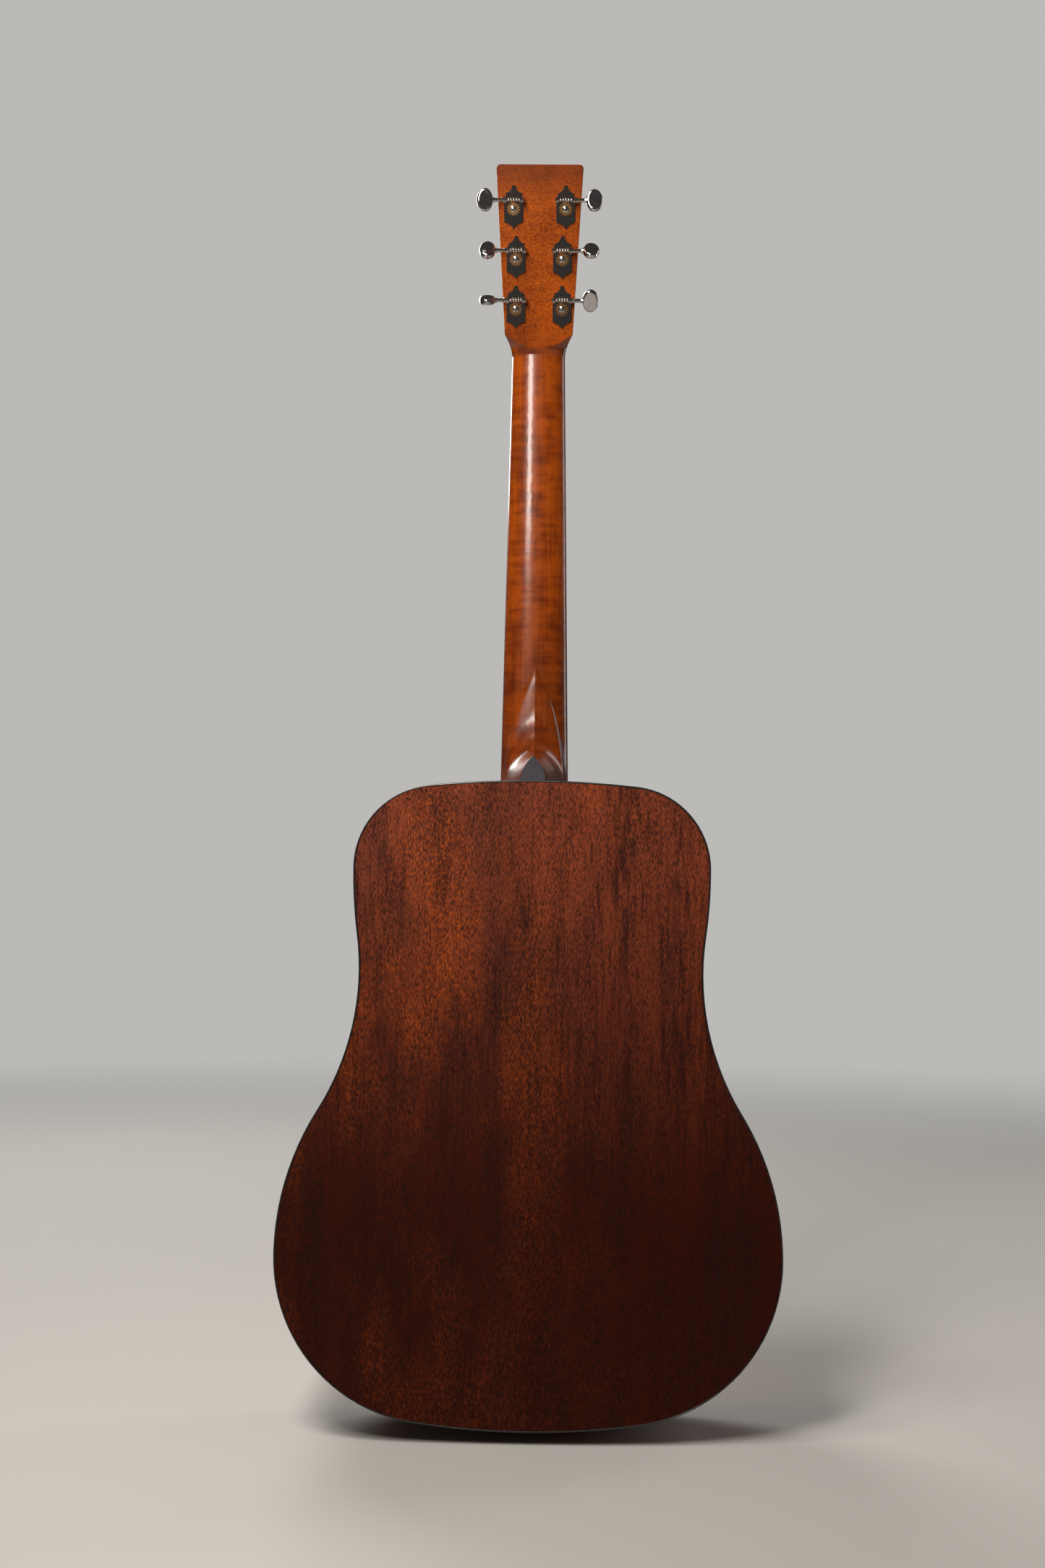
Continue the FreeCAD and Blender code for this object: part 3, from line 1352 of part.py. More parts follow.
def make_knob(number):
    side = tuner_side(number)
    oval = doc.addObject("Part::Ellipse", f"knob_oval_{number}")
    oval.MajorRadius = mm.knob_width / 2
    oval.MinorRadius = mm.knob_length / 2
    oval.setExpression("MajorRadius", (size.knob_width / 2).text)
    oval.setExpression("MinorRadius", (size.knob_length / 2).text)
    blank = doc.addObject("Part::Extrusion", f"knob_blank_{number}")
    blank.Base = oval
    blank.Dir = Z_AXIS
    blank.DirMode = "Custom"
    blank.Solid = True
    blank.LengthFwd = mm.knob_thickness
    blank.setExpression("LengthFwd", size.knob_thickness.text)
    doc.recompute()
    rounded = doc.addObject("Part::Fillet", f"knob_rounded_{number}")
    rounded.Base = blank
    rims = [index for index, edge in enumerate(blank.Shape.Edges, start=1)
            if abs(edge.BoundBox.ZLength) < 0.01]
    rounded.Edges = [(index, mm.knob_rounding, mm.knob_rounding) for index in rims]
    roll = Placement(Vector(), Rotation(X_AXIS, -KNOB_TURNS[number]))
    middle = side * (mm.knob_start + mm.knob_length / 2)
    lie = Placement(Vector(middle, 0, -mm.knob_thickness / 2), Rotation(Z_AXIS, 90))
    shaft_at = Placement(Vector(0, mm.worm_offset, WORM_AXIS), NO_TURN)
    axis_place = tuner_placement(number) * shaft_at * roll
    rounded.Placement = axis_place * lie
    ferrule = cone(f"knob_ferrule_{number}", 1.9, 2.5, 3)
    outwards = Rotation(Y_AXIS, side * 90)
    ferrule.Placement = axis_place * Placement(Vector(side * (mm.knob_start - 1.2), 0, 0), outwards)
    bore = cylinder(f"knob_bore_{number}", size.journal_radius, 5)
    bore.Placement = axis_place * Placement(Vector(side * (mm.knob_start - 2), 0, 0), outwards)
    pieces[f"knob_{number}"] = cut(f"knob_{number}", fuse(f"knob_body_{number}", [rounded, ferrule]), bore)


def make_tuners():
    plates, screws, bushings = [], [], []
    for number in STRINGS:
        plates.append(make_plate(number))
        screws += make_plate_screws(number)
        bushings.append(make_bushing(number))
        make_post(number)
        make_gear(number)
        make_worm_shaft(number)
        make_knob(number)
    pieces["tuner_plates"] = compound("tuner_plates", plates)
    pieces["plate_screws"] = compound("plate_screws", screws)
    pieces["tuner_bushings"] = compound("tuner_bushings", bushings)


pieces = {}


def make_guitar():
    soundboard = make_shell()
    tail, block = make_blocks()
    make_linings(tail, block)
    make_back_braces()
    plate = make_top_braces()
    channels = make_strings()
    make_bridge(channels)
    pieces["soundboard"] = pin_holes("soundboard", soundboard, channels)
    pieces["bridge_plate"] = pin_holes("bridge_plate", plate, channels)
    make_pickguard()
    make_end_pin()
    make_neck()
    make_truss_rod()
    make_heel_cap()
    make_fretboard()
    make_nut(channels)
    make_headplate()
    make_tuners()


def check_and_write():
    for name, piece in pieces.items():
        piece.Label = name
    doc.recompute()
    faults = [item.Name for item in doc.Objects if "Invalid" in item.State or "Error" in item.State]
    for name, piece in pieces.items():
        if piece.Shape.isNull() or not piece.Shape.isValid() or not piece.Shape.Solids:
            faults.append(name)
    if faults:
        raise SystemExit(f"failed: {faults}")
    os.makedirs("parts", exist_ok=True)
    for name, piece in sorted(pieces.items()):
        piece.Shape.exportStep(f"parts/{name}.step")
        print(f"{name:16} {len(piece.Shape.Solids):3} solids {piece.Shape.Volume / 1000:10.2f} cm3")


make_guitar()
check_and_write()
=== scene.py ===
import math
import bmesh
import bpy
from mathutils import Matrix, Vector


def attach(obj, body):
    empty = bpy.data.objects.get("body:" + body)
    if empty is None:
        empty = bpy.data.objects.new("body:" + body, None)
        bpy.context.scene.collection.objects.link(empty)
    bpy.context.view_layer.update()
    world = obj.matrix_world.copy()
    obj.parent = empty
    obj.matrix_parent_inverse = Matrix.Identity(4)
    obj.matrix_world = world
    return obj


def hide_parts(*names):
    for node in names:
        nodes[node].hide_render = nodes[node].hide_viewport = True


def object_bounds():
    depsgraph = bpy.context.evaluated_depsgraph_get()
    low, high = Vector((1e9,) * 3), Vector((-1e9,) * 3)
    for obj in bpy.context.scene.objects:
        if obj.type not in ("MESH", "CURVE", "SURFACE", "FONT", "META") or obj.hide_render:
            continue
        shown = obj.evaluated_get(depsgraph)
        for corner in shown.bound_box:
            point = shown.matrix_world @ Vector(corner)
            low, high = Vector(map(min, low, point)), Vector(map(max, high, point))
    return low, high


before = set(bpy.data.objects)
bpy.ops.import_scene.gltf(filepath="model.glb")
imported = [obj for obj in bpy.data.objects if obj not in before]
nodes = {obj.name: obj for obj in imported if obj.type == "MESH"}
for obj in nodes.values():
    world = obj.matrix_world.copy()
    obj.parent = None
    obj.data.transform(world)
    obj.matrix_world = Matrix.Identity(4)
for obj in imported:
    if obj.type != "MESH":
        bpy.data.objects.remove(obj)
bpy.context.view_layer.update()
print("frame loaded:", len(nodes), "nodes")


def tint(red, green, blue):
    # A colour picked on a 0 to 255 scale, as the linear values that shaders use.
    def linear(level):
        level /= 255
        return level / 12.92 if level <= 0.04045 else ((level + 0.055) / 1.055) ** 2.4
    return (linear(red), linear(green), linear(blue), 1)


class Wire:
    # A shader socket that takes part in sums; each sum adds one Math node.

    def __init__(self, finish, socket):
        self.finish = finish
        self.socket = socket

    def join(self, operation, first, second):
        return self.finish.add("ShaderNodeMath", {"operation": operation}, {0: first, 1: second})

    def __add__(self, other):
        return self.join("ADD", self, other)

    def __radd__(self, other):
        return self.join("ADD", other, self)

    def __sub__(self, other):
        return self.join("SUBTRACT", self, other)

    def __rsub__(self, other):
        return self.join("SUBTRACT", other, self)

    def __mul__(self, other):
        return self.join("MULTIPLY", self, other)

    def __rmul__(self, other):
        return self.join("MULTIPLY", other, self)

    def __truediv__(self, other):
        return self.join("DIVIDE", self, other)

    def __rtruediv__(self, other):
        return self.join("DIVIDE", other, self)

    def __pow__(self, other):
        return self.join("POWER", self, other)

    def __abs__(self):
        return self.join("ABSOLUTE", self, 0)

    def lowest(self, other):
        return self.join("MINIMUM", self, other)

    def highest(self, other):
        return self.join("MAXIMUM", self, other)

    def sine(self):
        return self.join("SINE", self, 0)

    def fraction(self):
        return self.join("FRACT", self, 0)

    def ramp(self, low, high, start=0, end=1):
        # Rises smoothly from start to end as the value goes from low to high.
        return self.finish.add("ShaderNodeMapRange", {"interpolation_type": "SMOOTHSTEP"},
                               {0: self, 1: low, 2: high, 3: start, 4: end})


class Finish:
    # One procedural material: a Principled shader with constants on its sockets, and what feeds the rest.

    def __init__(self, name, **constants):
        self.material = bpy.data.materials.new(name)
        self.material.use_nodes = True
        self.tree = self.material.node_tree
        self.shader = self.tree.nodes["Principled BSDF"]
        for socket, value in constants.items():
            self.shader.inputs[socket.replace("_", " ")].default_value = value
        self.place = self.add("ShaderNodeTexCoord", {}, {}, "Object")

    def add(self, kind, settings, sockets, output=0):
        node = self.tree.nodes.new(kind)
        for setting, value in settings.items():
            setattr(node, setting, value)
        for socket, value in sockets.items():
            if isinstance(value, Wire):
                self.tree.links.new(value.socket, node.inputs[socket])
            else:
                node.inputs[socket].default_value = value
        return Wire(self, node.outputs[output])

    def scaled(self, scale, place=None, turn=(0, 0, 0), shift=(0, 0, 0)):
        # Coordinates multiplied by a number for each axis, for patterns that run long one way.
        return self.add("ShaderNodeMapping", {}, {"Vector": place or self.place, "Scale": scale,
                                                  "Rotation": turn, "Location": shift})

    def noise(self, scale, detail=2.0, roughness=0.5, place=None, turn=(0, 0, 0), shift=(0, 0, 0),
              distortion=0.0):
        return self.add("ShaderNodeTexNoise", {},
                        {"Vector": self.scaled(scale, place, turn, shift), "Scale": 1.0, "Detail": detail,
                         "Roughness": roughness, "Distortion": distortion}, "Fac")

    def axes(self, place=None):
        node = self.tree.nodes.new("ShaderNodeSeparateXYZ")
        self.tree.links.new((place or self.place).socket, node.inputs[0])
        return [Wire(self, socket) for socket in node.outputs]

    def point(self, x, y, z):
        return self.add("ShaderNodeCombineXYZ", {}, {0: x, 1: y, 2: z})

    def blend(self, share, first, second):
        return self.add("ShaderNodeMix", {"data_type": "RGBA"}, {0: share, 6: first, 7: second}, 2)

    def length(self, vector):
        return self.add("ShaderNodeVectorMath", {"operation": "LENGTH"}, {0: vector}, "Value")

    def crossed(self, first, second):
        return self.add("ShaderNodeVectorMath", {"operation": "CROSS_PRODUCT"}, {0: first, 1: second}, "Vector")

    def feed(self, socket, value):
        self.tree.links.new(value.socket, self.shader.inputs[socket])

    def bump(self, height, distance, strength=1.0):
        self.feed("Normal", self.add("ShaderNodeBump", {}, {"Height": height, "Distance": distance,
                                                            "Strength": strength}, "Normal"))


# Finishes

backLook = {
    "brown": tint(128, 58, 34),
    # The back's colour low on the body, darkened there as painted shade.
    "deep": tint(56, 12, 2),
    "orange": tint(176, 78, 22),
    "streak": tint(52, 19, 12),
    "pore": tint(26, 10, 8),
    "poreWidth": 0.00045,
    "poreLength": 0.0046,
    "roughness": 0.42,
}


def figuredWoodWithPaintedShade(finish, look, y, z, across):
    # Open-pored mahogany with its grain along z. Across is the distance over the grain, whole or mirrored. It
    # also carries painted shade: darker from the top of the body towards the bottom.
    grain = finish.point(across, y, z)
    bands = finish.noise((30, 30, 1.5), 4, 0.5, grain)
    streaks = finish.noise((340, 340, 6), 3, 0.6)
    figure = bands * 0.5 + streaks * 0.5
    # Painted shade: the colour darkens from the top of the body towards the bottom, as light falls off from
    # above.
    height = z.ramp(0.14, 0.52)
    colour = finish.blend(height, look["deep"], look["brown"])
    dark = finish.blend(height, finish.blend(0.45, look["deep"], look["streak"]), look["streak"])
    return streaks, finish.blend(figure.ramp(0.38, 0.58, 0.95, 0.0), colour, dark)


def poreMask(finish, look, density):
    # Short dark dashes along the grain, in drifts.
    dashes = finish.noise((1 / look["poreWidth"], 1 / look["poreWidth"], 1 / look["poreLength"]), 1.5, 0.6)
    drifts = finish.noise((46, 46, 11), 3, 0.55)
    return (dashes + drifts * 0.3).ramp(density, density + 0.09)


def makeBackWood():
    look = backLook
    finish = Finish("mahoganyBack", Coat_Weight=0.0, Coat_Roughness=0.3, Specular_IOR_Level=0.09)
    x, y, z = finish.axes()
    across = abs(x)
    streaks, colour = figuredWoodWithPaintedShade(finish, look, y, z, across)
    # The treble half is a little darker, most of all beside the seam.
    shaded = x.ramp(-0.012, 0.001, 0.26, 0.0) * x.ramp(-0.075, -0.012, 0.45, 1.0)
    colour = finish.blend(shaded, colour, look["streak"])
    # Orange figure standing in the wood, in broad drifts broken into a fine short fleck, mixed with a painted
    # sheen that leans to the upper left and grows towards the top.
    drift = finish.noise((13, 13, 5), 3, 0.6, shift=(1.7, 0, 0.4))
    fleck = finish.noise((620, 620, 330), 2, 0.6).ramp(0.42, 0.62)
    # Painted sheen: more orange towards the upper left, where the lamps stand, and towards the top of the body.
    lean = (z * 0.2 - x * 1.6).ramp(-0.2, 0.26, 0.15, 1.0)
    figureAndPaintedSheen = drift.ramp(0.4, 0.62) * (0.12 + fleck * 0.8) * lean
    colour = finish.blend(figureAndPaintedSheen.lowest(1.0) * z.ramp(0.1, 0.46, 0.22, 0.85), colour, look["orange"])
    # Two small curls, one on each half, where a twig started in the tree.
    spot = finish.point((across - 0.0665) * 130, 0, (z - 0.4705) * 520)
    distance = finish.length(spot)
    wobble = finish.noise((420, 420, 420), 2, 0.5)
    mark = (distance + (wobble - 0.5) * 1.4).ramp(0.3, 1.0, 0.3, 0.0)
    colour = finish.blend(mark, colour, look["orange"])
    pores = poreMask(finish, look, 0.63)
    colour = finish.blend(pores * 0.8, colour, look["pore"])
    seam = abs(x).ramp(0.00012, 0.0004, 0.45, 0.0)
    colour = finish.blend(seam, colour, look["pore"])
    finish.feed("Base Color", colour)
    finish.feed("Roughness", look["roughness"] + pores * 0.2 + streaks * 0.08)
    finish.bump(1 - pores - seam * 0.6, 0.00007, 0.4)
    return finish.material


def makeSideWood():
    look = backLook
    finish = Finish("mahoganySide", Coat_Weight=0.08, Coat_Roughness=0.26, Specular_IOR_Level=0.3)
    bands = finish.noise((3, 40, 3), 3, 0.55)
    streaks = finish.noise((9, 420, 9), 3, 0.6)
    colour = finish.blend((bands * 0.55 + streaks * 0.45).ramp(0.36, 0.64), look["streak"], look["brown"])
    ripple = finish.noise((120, 20, 120), 2, 0.5) * finish.noise((8, 20, 8), 2, 0.5).ramp(0.45, 0.7)
    colour = finish.blend(ripple * 0.6, colour, look["orange"])
    dashes = finish.noise((1 / look["poreLength"], 1 / look["poreWidth"], 1 / look["poreLength"]), 1.5, 0.6)
    pores = dashes.ramp(0.6, 0.7)
    colour = finish.blend(pores * 0.75, colour, look["pore"])
    finish.feed("Base Color", colour)
    finish.feed("Roughness", look["roughness"] + pores * 0.2 + streaks * 0.06)
    finish.bump(1 - pores, 0.0001, 0.5)
    return finish.material


neckLook = {
    "amber": tint(148, 64, 6),
    "brown": tint(100, 36, 3),
    "dark": tint(62, 22, 8),
    "head": tint(170, 78, 5),
    "gloss": 0.24,
}


def makeNeckWood():
    look = neckLook
    finish = Finish("mahoganyNeck", Coat_Weight=0.55, Coat_Roughness=0.15, Specular_IOR_Level=0.2)
    z = finish.axes()[2]
    bands = finish.noise((46, 46, 3.2), 3, 0.55)
    streaks = finish.noise((520, 520, 13), 3, 0.6)
    mottle = finish.noise((60, 60, 44), 3, 0.6, turn=(0, 0.5, 0))
    curl = finish.noise((30, 30, 210), 2, 0.5, turn=(0, 0.22, 0))
    figure = bands * 0.3 + streaks * 0.15 + mottle * 0.3 + curl * 0.25
    colour = finish.blend(figure.ramp(0.4, 0.58), look["brown"], look["amber"])
    knot = finish.noise((20, 20, 9), 2, 0.5, shift=(0.4, 0, 2.2)).ramp(0.55, 0.75)
    low = z.ramp(0.5, 0.72, 0.75, 0.0)
    colour = finish.blend((knot * 0.5 + low * bands.ramp(0.35, 0.65)).lowest(1.0), colour, look["dark"])
    onHead = z.ramp(0.885, 0.905)
    fleck = finish.noise((520, 520, 1100), 2, 0.6).ramp(0.4, 0.62)
    cloud = finish.noise((26, 26, 60), 3, 0.55).ramp(0.4, 0.66)
    headColour = finish.blend((fleck * 0.7 + cloud * 0.35).lowest(1.0), look["head"], look["brown"])
    headColour = finish.blend(z.ramp(0.985, 1.03, 0.0, 0.7), headColour, look["dark"])
    colour = finish.blend(onHead * 0.8, colour, headColour)
    pores = finish.noise((1500, 1500, 130), 1.5, 0.6).ramp(0.6, 0.72)
    colour = finish.blend(pores * 0.5, colour, look["dark"])
    finish.feed("Base Color", colour)
    finish.feed("Roughness", look["gloss"] + streaks * 0.12 + pores * 0.12)
    finish.feed("Coat Weight", onHead.ramp(0.0, 1.0, 0.55, 0.25))
    finish.bump(1 - pores + streaks * 0.4, 0.00004, 0.25)
    return finish.material


spruceLook = {
    "pale": tint(226, 186, 124),
    "line": tint(176, 122, 66),
    "ringPitch": 0.0015,
}


def makeSpruceTop():
    look = spruceLook
    finish = Finish("spruceTop", Coat_Weight=0.7, Coat_Roughness=0.14)
    x, y, z = finish.axes()
    across = abs(x)
    grain = finish.point(across, y, z)
    waver = finish.noise((9, 9, 1.4), 3, 0.55, grain)
    widening = 1 + across * 3.4
    ring = ((across + (waver - 0.5) * 0.006) / (widening * look["ringPitch"])).fraction()
    late = ring.ramp(0.45, 0.93) * (1 - ring.ramp(0.93, 1.0))
    fibre = finish.noise((1800, 1800, 26), 2, 0.6, grain)
    shade = finish.noise((34, 34, 2), 3, 0.55, grain)
    colour = finish.blend(late * (0.4 + fibre * 0.5), look["pale"], look["line"])
    colour = finish.blend(shade.ramp(0.4, 0.7) * 0.3, colour, tint(205, 152, 84))
    silk = finish.noise((300, 300, 900), 2, 0.5, turn=(0, 0.35, 0)).ramp(0.55, 0.8)
    colour = finish.blend(silk * 0.22, colour, tint(240, 208, 152))
    colour = finish.blend(across.ramp(0.0001, 0.0004, 0.4, 0.0), colour, look["line"])
    finish.feed("Base Color", colour)
    finish.feed("Roughness", 0.3 + fibre * 0.12)
    finish.bump(fibre * 0.4 + (1 - late), 0.00003, 0.3)
    return finish.material


def makeRawWood(name, pale, line, pitch, wander):
    # Planed, unfinished wood inside the body.
    finish = Finish(name)
    rings = finish.noise((1 / pitch, 1 / pitch, 1 / wander), 3, 0.6)
    fibre = finish.noise((1500, 1500, 60), 2, 0.6)
    colour = finish.blend(rings.ramp(0.4, 0.66), pale, line)
    colour = finish.blend(fibre.ramp(0.45, 0.8) * 0.3, colour, line)
    finish.feed("Base Color", colour)
    finish.feed("Roughness", 0.62 + fibre * 0.2)
    finish.bump(fibre, 0.00008, 0.4)
    return finish.material


def makeRosewood(name, gloss, coat):
    finish = Finish(name, Coat_Weight=coat, Coat_Roughness=0.08)
    bands = finish.noise((75, 75, 2.6), 4, 0.6, distortion=0.4)
    streaks = finish.noise((620, 620, 10), 3, 0.6)
    figure = (bands * 0.6 + streaks * 0.4).ramp(0.36, 0.64)
    colour = finish.blend(figure, tint(38, 20, 15), tint(88, 50, 34))
    pores = finish.noise((1700, 1700, 90), 1.5, 0.6).ramp(0.62, 0.72)
    colour = finish.blend(pores * 0.8, colour, tint(16, 9, 8))
    finish.feed("Base Color", colour)
    finish.feed("Roughness", gloss + pores * 0.22 + streaks * 0.1)
    finish.bump(1 - pores + streaks * 0.2, 0.00008, 0.4)
    return finish.material


def makePlastic(name, colour, worn, gloss, coat=0.0, grainSize=900):
    # Polished black or cream plastic: fine buffing marks and a slightly lighter bloom here and there.
    finish = Finish(name, Coat_Weight=coat, Coat_Roughness=0.1)
    bloom = finish.noise((70, 70, 70), 3, 0.6)
    grit = finish.noise((grainSize,) * 3, 2, 0.6)
    finish.feed("Base Color", finish.blend(bloom.ramp(0.4, 0.8) * 0.5 + grit * 0.12, colour, worn))
    finish.feed("Roughness", gloss + bloom * 0.1 + grit.ramp(0.4, 0.8) * 0.08)
    finish.bump(grit, 0.00002, 0.25)
    return finish.material


def makeBone():
    finish = Finish("bone", Subsurface_Weight=0.06)
    cloud = finish.noise((90, 90, 90), 3, 0.55)
    fibre = finish.noise((900, 300, 900), 2, 0.6)
    colour = finish.blend(cloud.ramp(0.35, 0.7), tint(238, 228, 204), tint(222, 206, 172))
    colour = finish.blend(fibre.ramp(0.58, 0.8) * 0.3, colour, tint(186, 166, 128))
    finish.feed("Base Color", colour)
    finish.feed("Roughness", 0.3 + fibre * 0.15)
    finish.bump(fibre, 0.00002, 0.3)
    return finish.material


rosetteLook = {
    "centre": (0, 0.374),
    "fineEdges": (0.0524, 0.0530, 0.0586, 0.0592),
    "bandMiddle": 0.0558,
    "lines": (0.0545, 0.0571),
}


def makeRosette():
    # Cream lines, and a middle band of dark and light threads, by distance from the soundhole's centre.
    look = rosetteLook
    finish = Finish("rosetteInlay", Coat_Weight=0.7, Coat_Roughness=0.14)
    x, _, z = finish.axes()
    spot = finish.point(x - look["centre"][0], 0, z - look["centre"][1])
    radius = finish.length(spot)
    thread = abs(radius - look["bandMiddle"])
    dark = thread.ramp(0.00075, 0.00085, 1.0, 0.0)
    rim = thread.ramp(0.0012, 0.0013)
    fine = thread.ramp(0.0018, 0.0019)
    black = dark.highest(rim - fine)
    specks = finish.noise((700, 700, 700), 2, 0.6)
    cream = finish.blend(specks.ramp(0.5, 0.8) * 0.4, tint(232, 220, 190), tint(190, 172, 136))
    colour = finish.blend(black, cream, tint(20, 17, 16))
    finish.feed("Base Color", colour)
    finish.feed("Roughness", 0.3 + specks * 0.1)
    return finish.material


def makeTortoise():
    finish = Finish("tortoise", Coat_Weight=0.6, Coat_Roughness=0.05)
    cloud = finish.noise((75, 75, 48), 4, 0.6, distortion=1.6)
    clots = finish.noise((190, 190, 150), 3, 0.6, distortion=0.8)
    amber = (cloud * 0.7 + clots * 0.3).ramp(0.5, 0.68)
    colour = finish.blend(amber, tint(34, 15, 10), tint(142, 66, 20))
    colour = finish.blend(amber * clots.ramp(0.55, 0.75), colour, tint(206, 128, 46))
    scuffs = finish.noise((240, 240, 2200), 2, 0.6, turn=(0, 0.7, 0))
    finish.feed("Base Color", colour)
    finish.feed("Roughness", 0.16 + scuffs.ramp(0.5, 0.9) * 0.12)
    return finish.material


def makePearl():
    finish = Finish("pearl", Coat_Weight=0.6, Coat_Roughness=0.06)
    wave = finish.noise((420, 420, 260), 3, 0.6, distortion=2.2)
    colour = finish.blend(wave.ramp(0.38, 0.52), tint(232, 232, 224), tint(196, 214, 208))
    colour = finish.blend(wave.ramp(0.55, 0.7), colour, tint(226, 204, 214))
    finish.feed("Base Color", colour)
    finish.feed("Roughness", 0.22 + wave * 0.12)
    return finish.material


def makeMetal(name, bright, dull, gloss, streak=(900, 900, 900), tarnish=0.35):
    # Plated or plain metal: faint polishing marks, and a cloudy tarnish that dulls it unevenly.
    finish = Finish(name, Metallic=1.0)
    cloud = finish.noise((230, 230, 230), 3, 0.6)
    marks = finish.noise(streak, 2, 0.6)
    finish.feed("Base Color", finish.blend(cloud.ramp(0.42, 0.72) * tarnish + marks * 0.08, bright, dull))
    finish.feed("Roughness", gloss + cloud.ramp(0.4, 0.8) * 0.07 + marks * 0.04)
    finish.bump(marks, 0.000006, 0.3)
    return finish.material


gearLook = {
    "bronze": tint(222, 166, 112),
    "worn": tint(140, 88, 50),
    "screw": tint(214, 206, 200),
    "screwRadius": 0.0027,
    "lean": math.radians(15),
}


def makeGears():
    # Bronze wheels, each with the plated head of its screw in the middle.
    look = gearLook
    finish = Finish("gearBronze", Metallic=1.0)
    facing = (0, -math.cos(look["lean"]), -math.sin(look["lean"]))
    nearest = None
    for name, node in nodes.items():
        if name.startswith("gear_"):
            corners = [Vector(corner) for corner in node.bound_box]
            middle = node.matrix_world @ (sum(corners, Vector()) / 8)
            arm = finish.add("ShaderNodeVectorMath", {"operation": "SUBTRACT"},
                             {0: finish.place, 1: middle}, "Vector")
            radius = finish.length(finish.crossed(arm, facing))
            nearest = nearest.lowest(radius) if nearest else radius
    screw = nearest.ramp(look["screwRadius"], look["screwRadius"] + 0.0001, 1.0, 0.0)
    cloud = finish.noise((260, 260, 260), 3, 0.6)
    bronze = finish.blend(cloud.ramp(0.42, 0.7) * 0.5, look["bronze"], look["worn"])
    finish.feed("Base Color", finish.blend(screw, bronze, look["screw"]))
    finish.feed("Roughness", 0.2 - screw * 0.08 + cloud * 0.1)
    finish.bump(cloud, 0.000006, 0.3)
    return finish.material


stringLook = {
    "wrapPitch": 0.0005,
    "plainEdge": ((0.228, -0.0108), (0.876, -0.0076), (0.954, -0.0147)),
    "plainTop": 0.968,
}


def makeStrings():
    # The two thinnest strings are plain steel; the other four are wound with bronze.
    look = stringLook
    finish = Finish("strings", Metallic=1.0)
    x, _, z = finish.axes()
    (low, lowX), (middle, middleX), (high, highX) = look["plainEdge"]
    firstSlope = (middleX - lowX) / (middle - low)
    secondSlope = (highX - middleX) / (high - middle)
    edge = lowX + (z - low).lowest(middle - low) * firstSlope + (z - middle).highest(0.0) * secondSlope
    plain = (edge - x).ramp(-0.0001, 0.0001) * z.ramp(look["plainTop"], look["plainTop"] + 0.001, 1.0, 0.0)
    wrap = (z * (2 * math.pi / look["wrapPitch"])).sine()
    grime = finish.noise((60, 60, 30), 3, 0.6)
    bronze = finish.blend(grime.ramp(0.4, 0.75) * 0.5, tint(214, 158, 92), tint(150, 98, 56))
    # Painted shade: the grooves between the windings are coloured darker.
    bronze = finish.blend((0.5 - wrap * 0.5) * 0.5, bronze, tint(96, 60, 34))
    colour = finish.blend(plain, bronze, tint(206, 206, 204))
    finish.feed("Base Color", colour)
    finish.feed("Roughness", 0.28 - plain * 0.08 + grime * 0.1)
    finish.bump(wrap * (1 - plain), 0.00004, 0.6)
    return finish.material


makers = {
    "spruceTop": makeSpruceTop,
    "mahoganyBack": makeBackWood,
    "mahoganySide": makeSideWood,
    "mahoganyNeck": makeNeckWood,
    "insideMahogany": lambda: makeRawWood("insideMahogany", tint(176, 118, 82), tint(134, 82, 54),
                                          0.011, 0.2),
    "insideSpruce": lambda: makeRawWood("insideSpruce", tint(226, 196, 148), tint(186, 142, 92),
                                        0.0018, 0.12),
    "maple": lambda: makeRawWood("maple", tint(226, 204, 166), tint(196, 164, 120), 0.006, 0.15),
    "rosewood": lambda: makeRosewood("rosewood", 0.38, 0.0),
    "headplateWood": lambda: makeRosewood("headplateWood", 0.22, 0.9),
    "blackBinding": lambda: makePlastic("blackBinding", tint(18, 17, 18), tint(40, 38, 40), 0.26, 0.3),
    "capBlack": lambda: makePlastic("capBlack", tint(52, 47, 55), tint(70, 64, 74), 0.4, 0.1),
    "pinBlack": lambda: makePlastic("pinBlack", tint(16, 15, 16), tint(36, 34, 36), 0.16, 0.4),
    "endPinBlack": lambda: makePlastic("endPinBlack", tint(18, 17, 17), tint(44, 42, 42), 0.24, 0.3),
    "rosetteInlay": makeRosette,
    "tortoise": makeTortoise,
    "bone": makeBone,
    "pearl": makePearl,
    "strings": makeStrings,
    "fretNickel": lambda: makeMetal("fretNickel", tint(212, 208, 200), tint(160, 154, 144), 0.2,
                                    (200, 2600, 2600)),
    "nickel": lambda: makeMetal("nickel", tint(198, 190, 184), tint(120, 106, 96), 0.07, tarnish=0.3),
    "knobNickel": lambda: makeMetal("knobNickel", tint(206, 200, 200), tint(150, 140, 134), 0.05,
                                    tarnish=0.2),
    "gearBronze": makeGears,
    "rodSteel": lambda: makeMetal("rodSteel", tint(176, 176, 178), tint(110, 106, 104), 0.34,
                                  (2000, 2000, 120)),
}
finishes = {name: make() for name, make in makers.items()}
print("finishes made:", len(finishes))

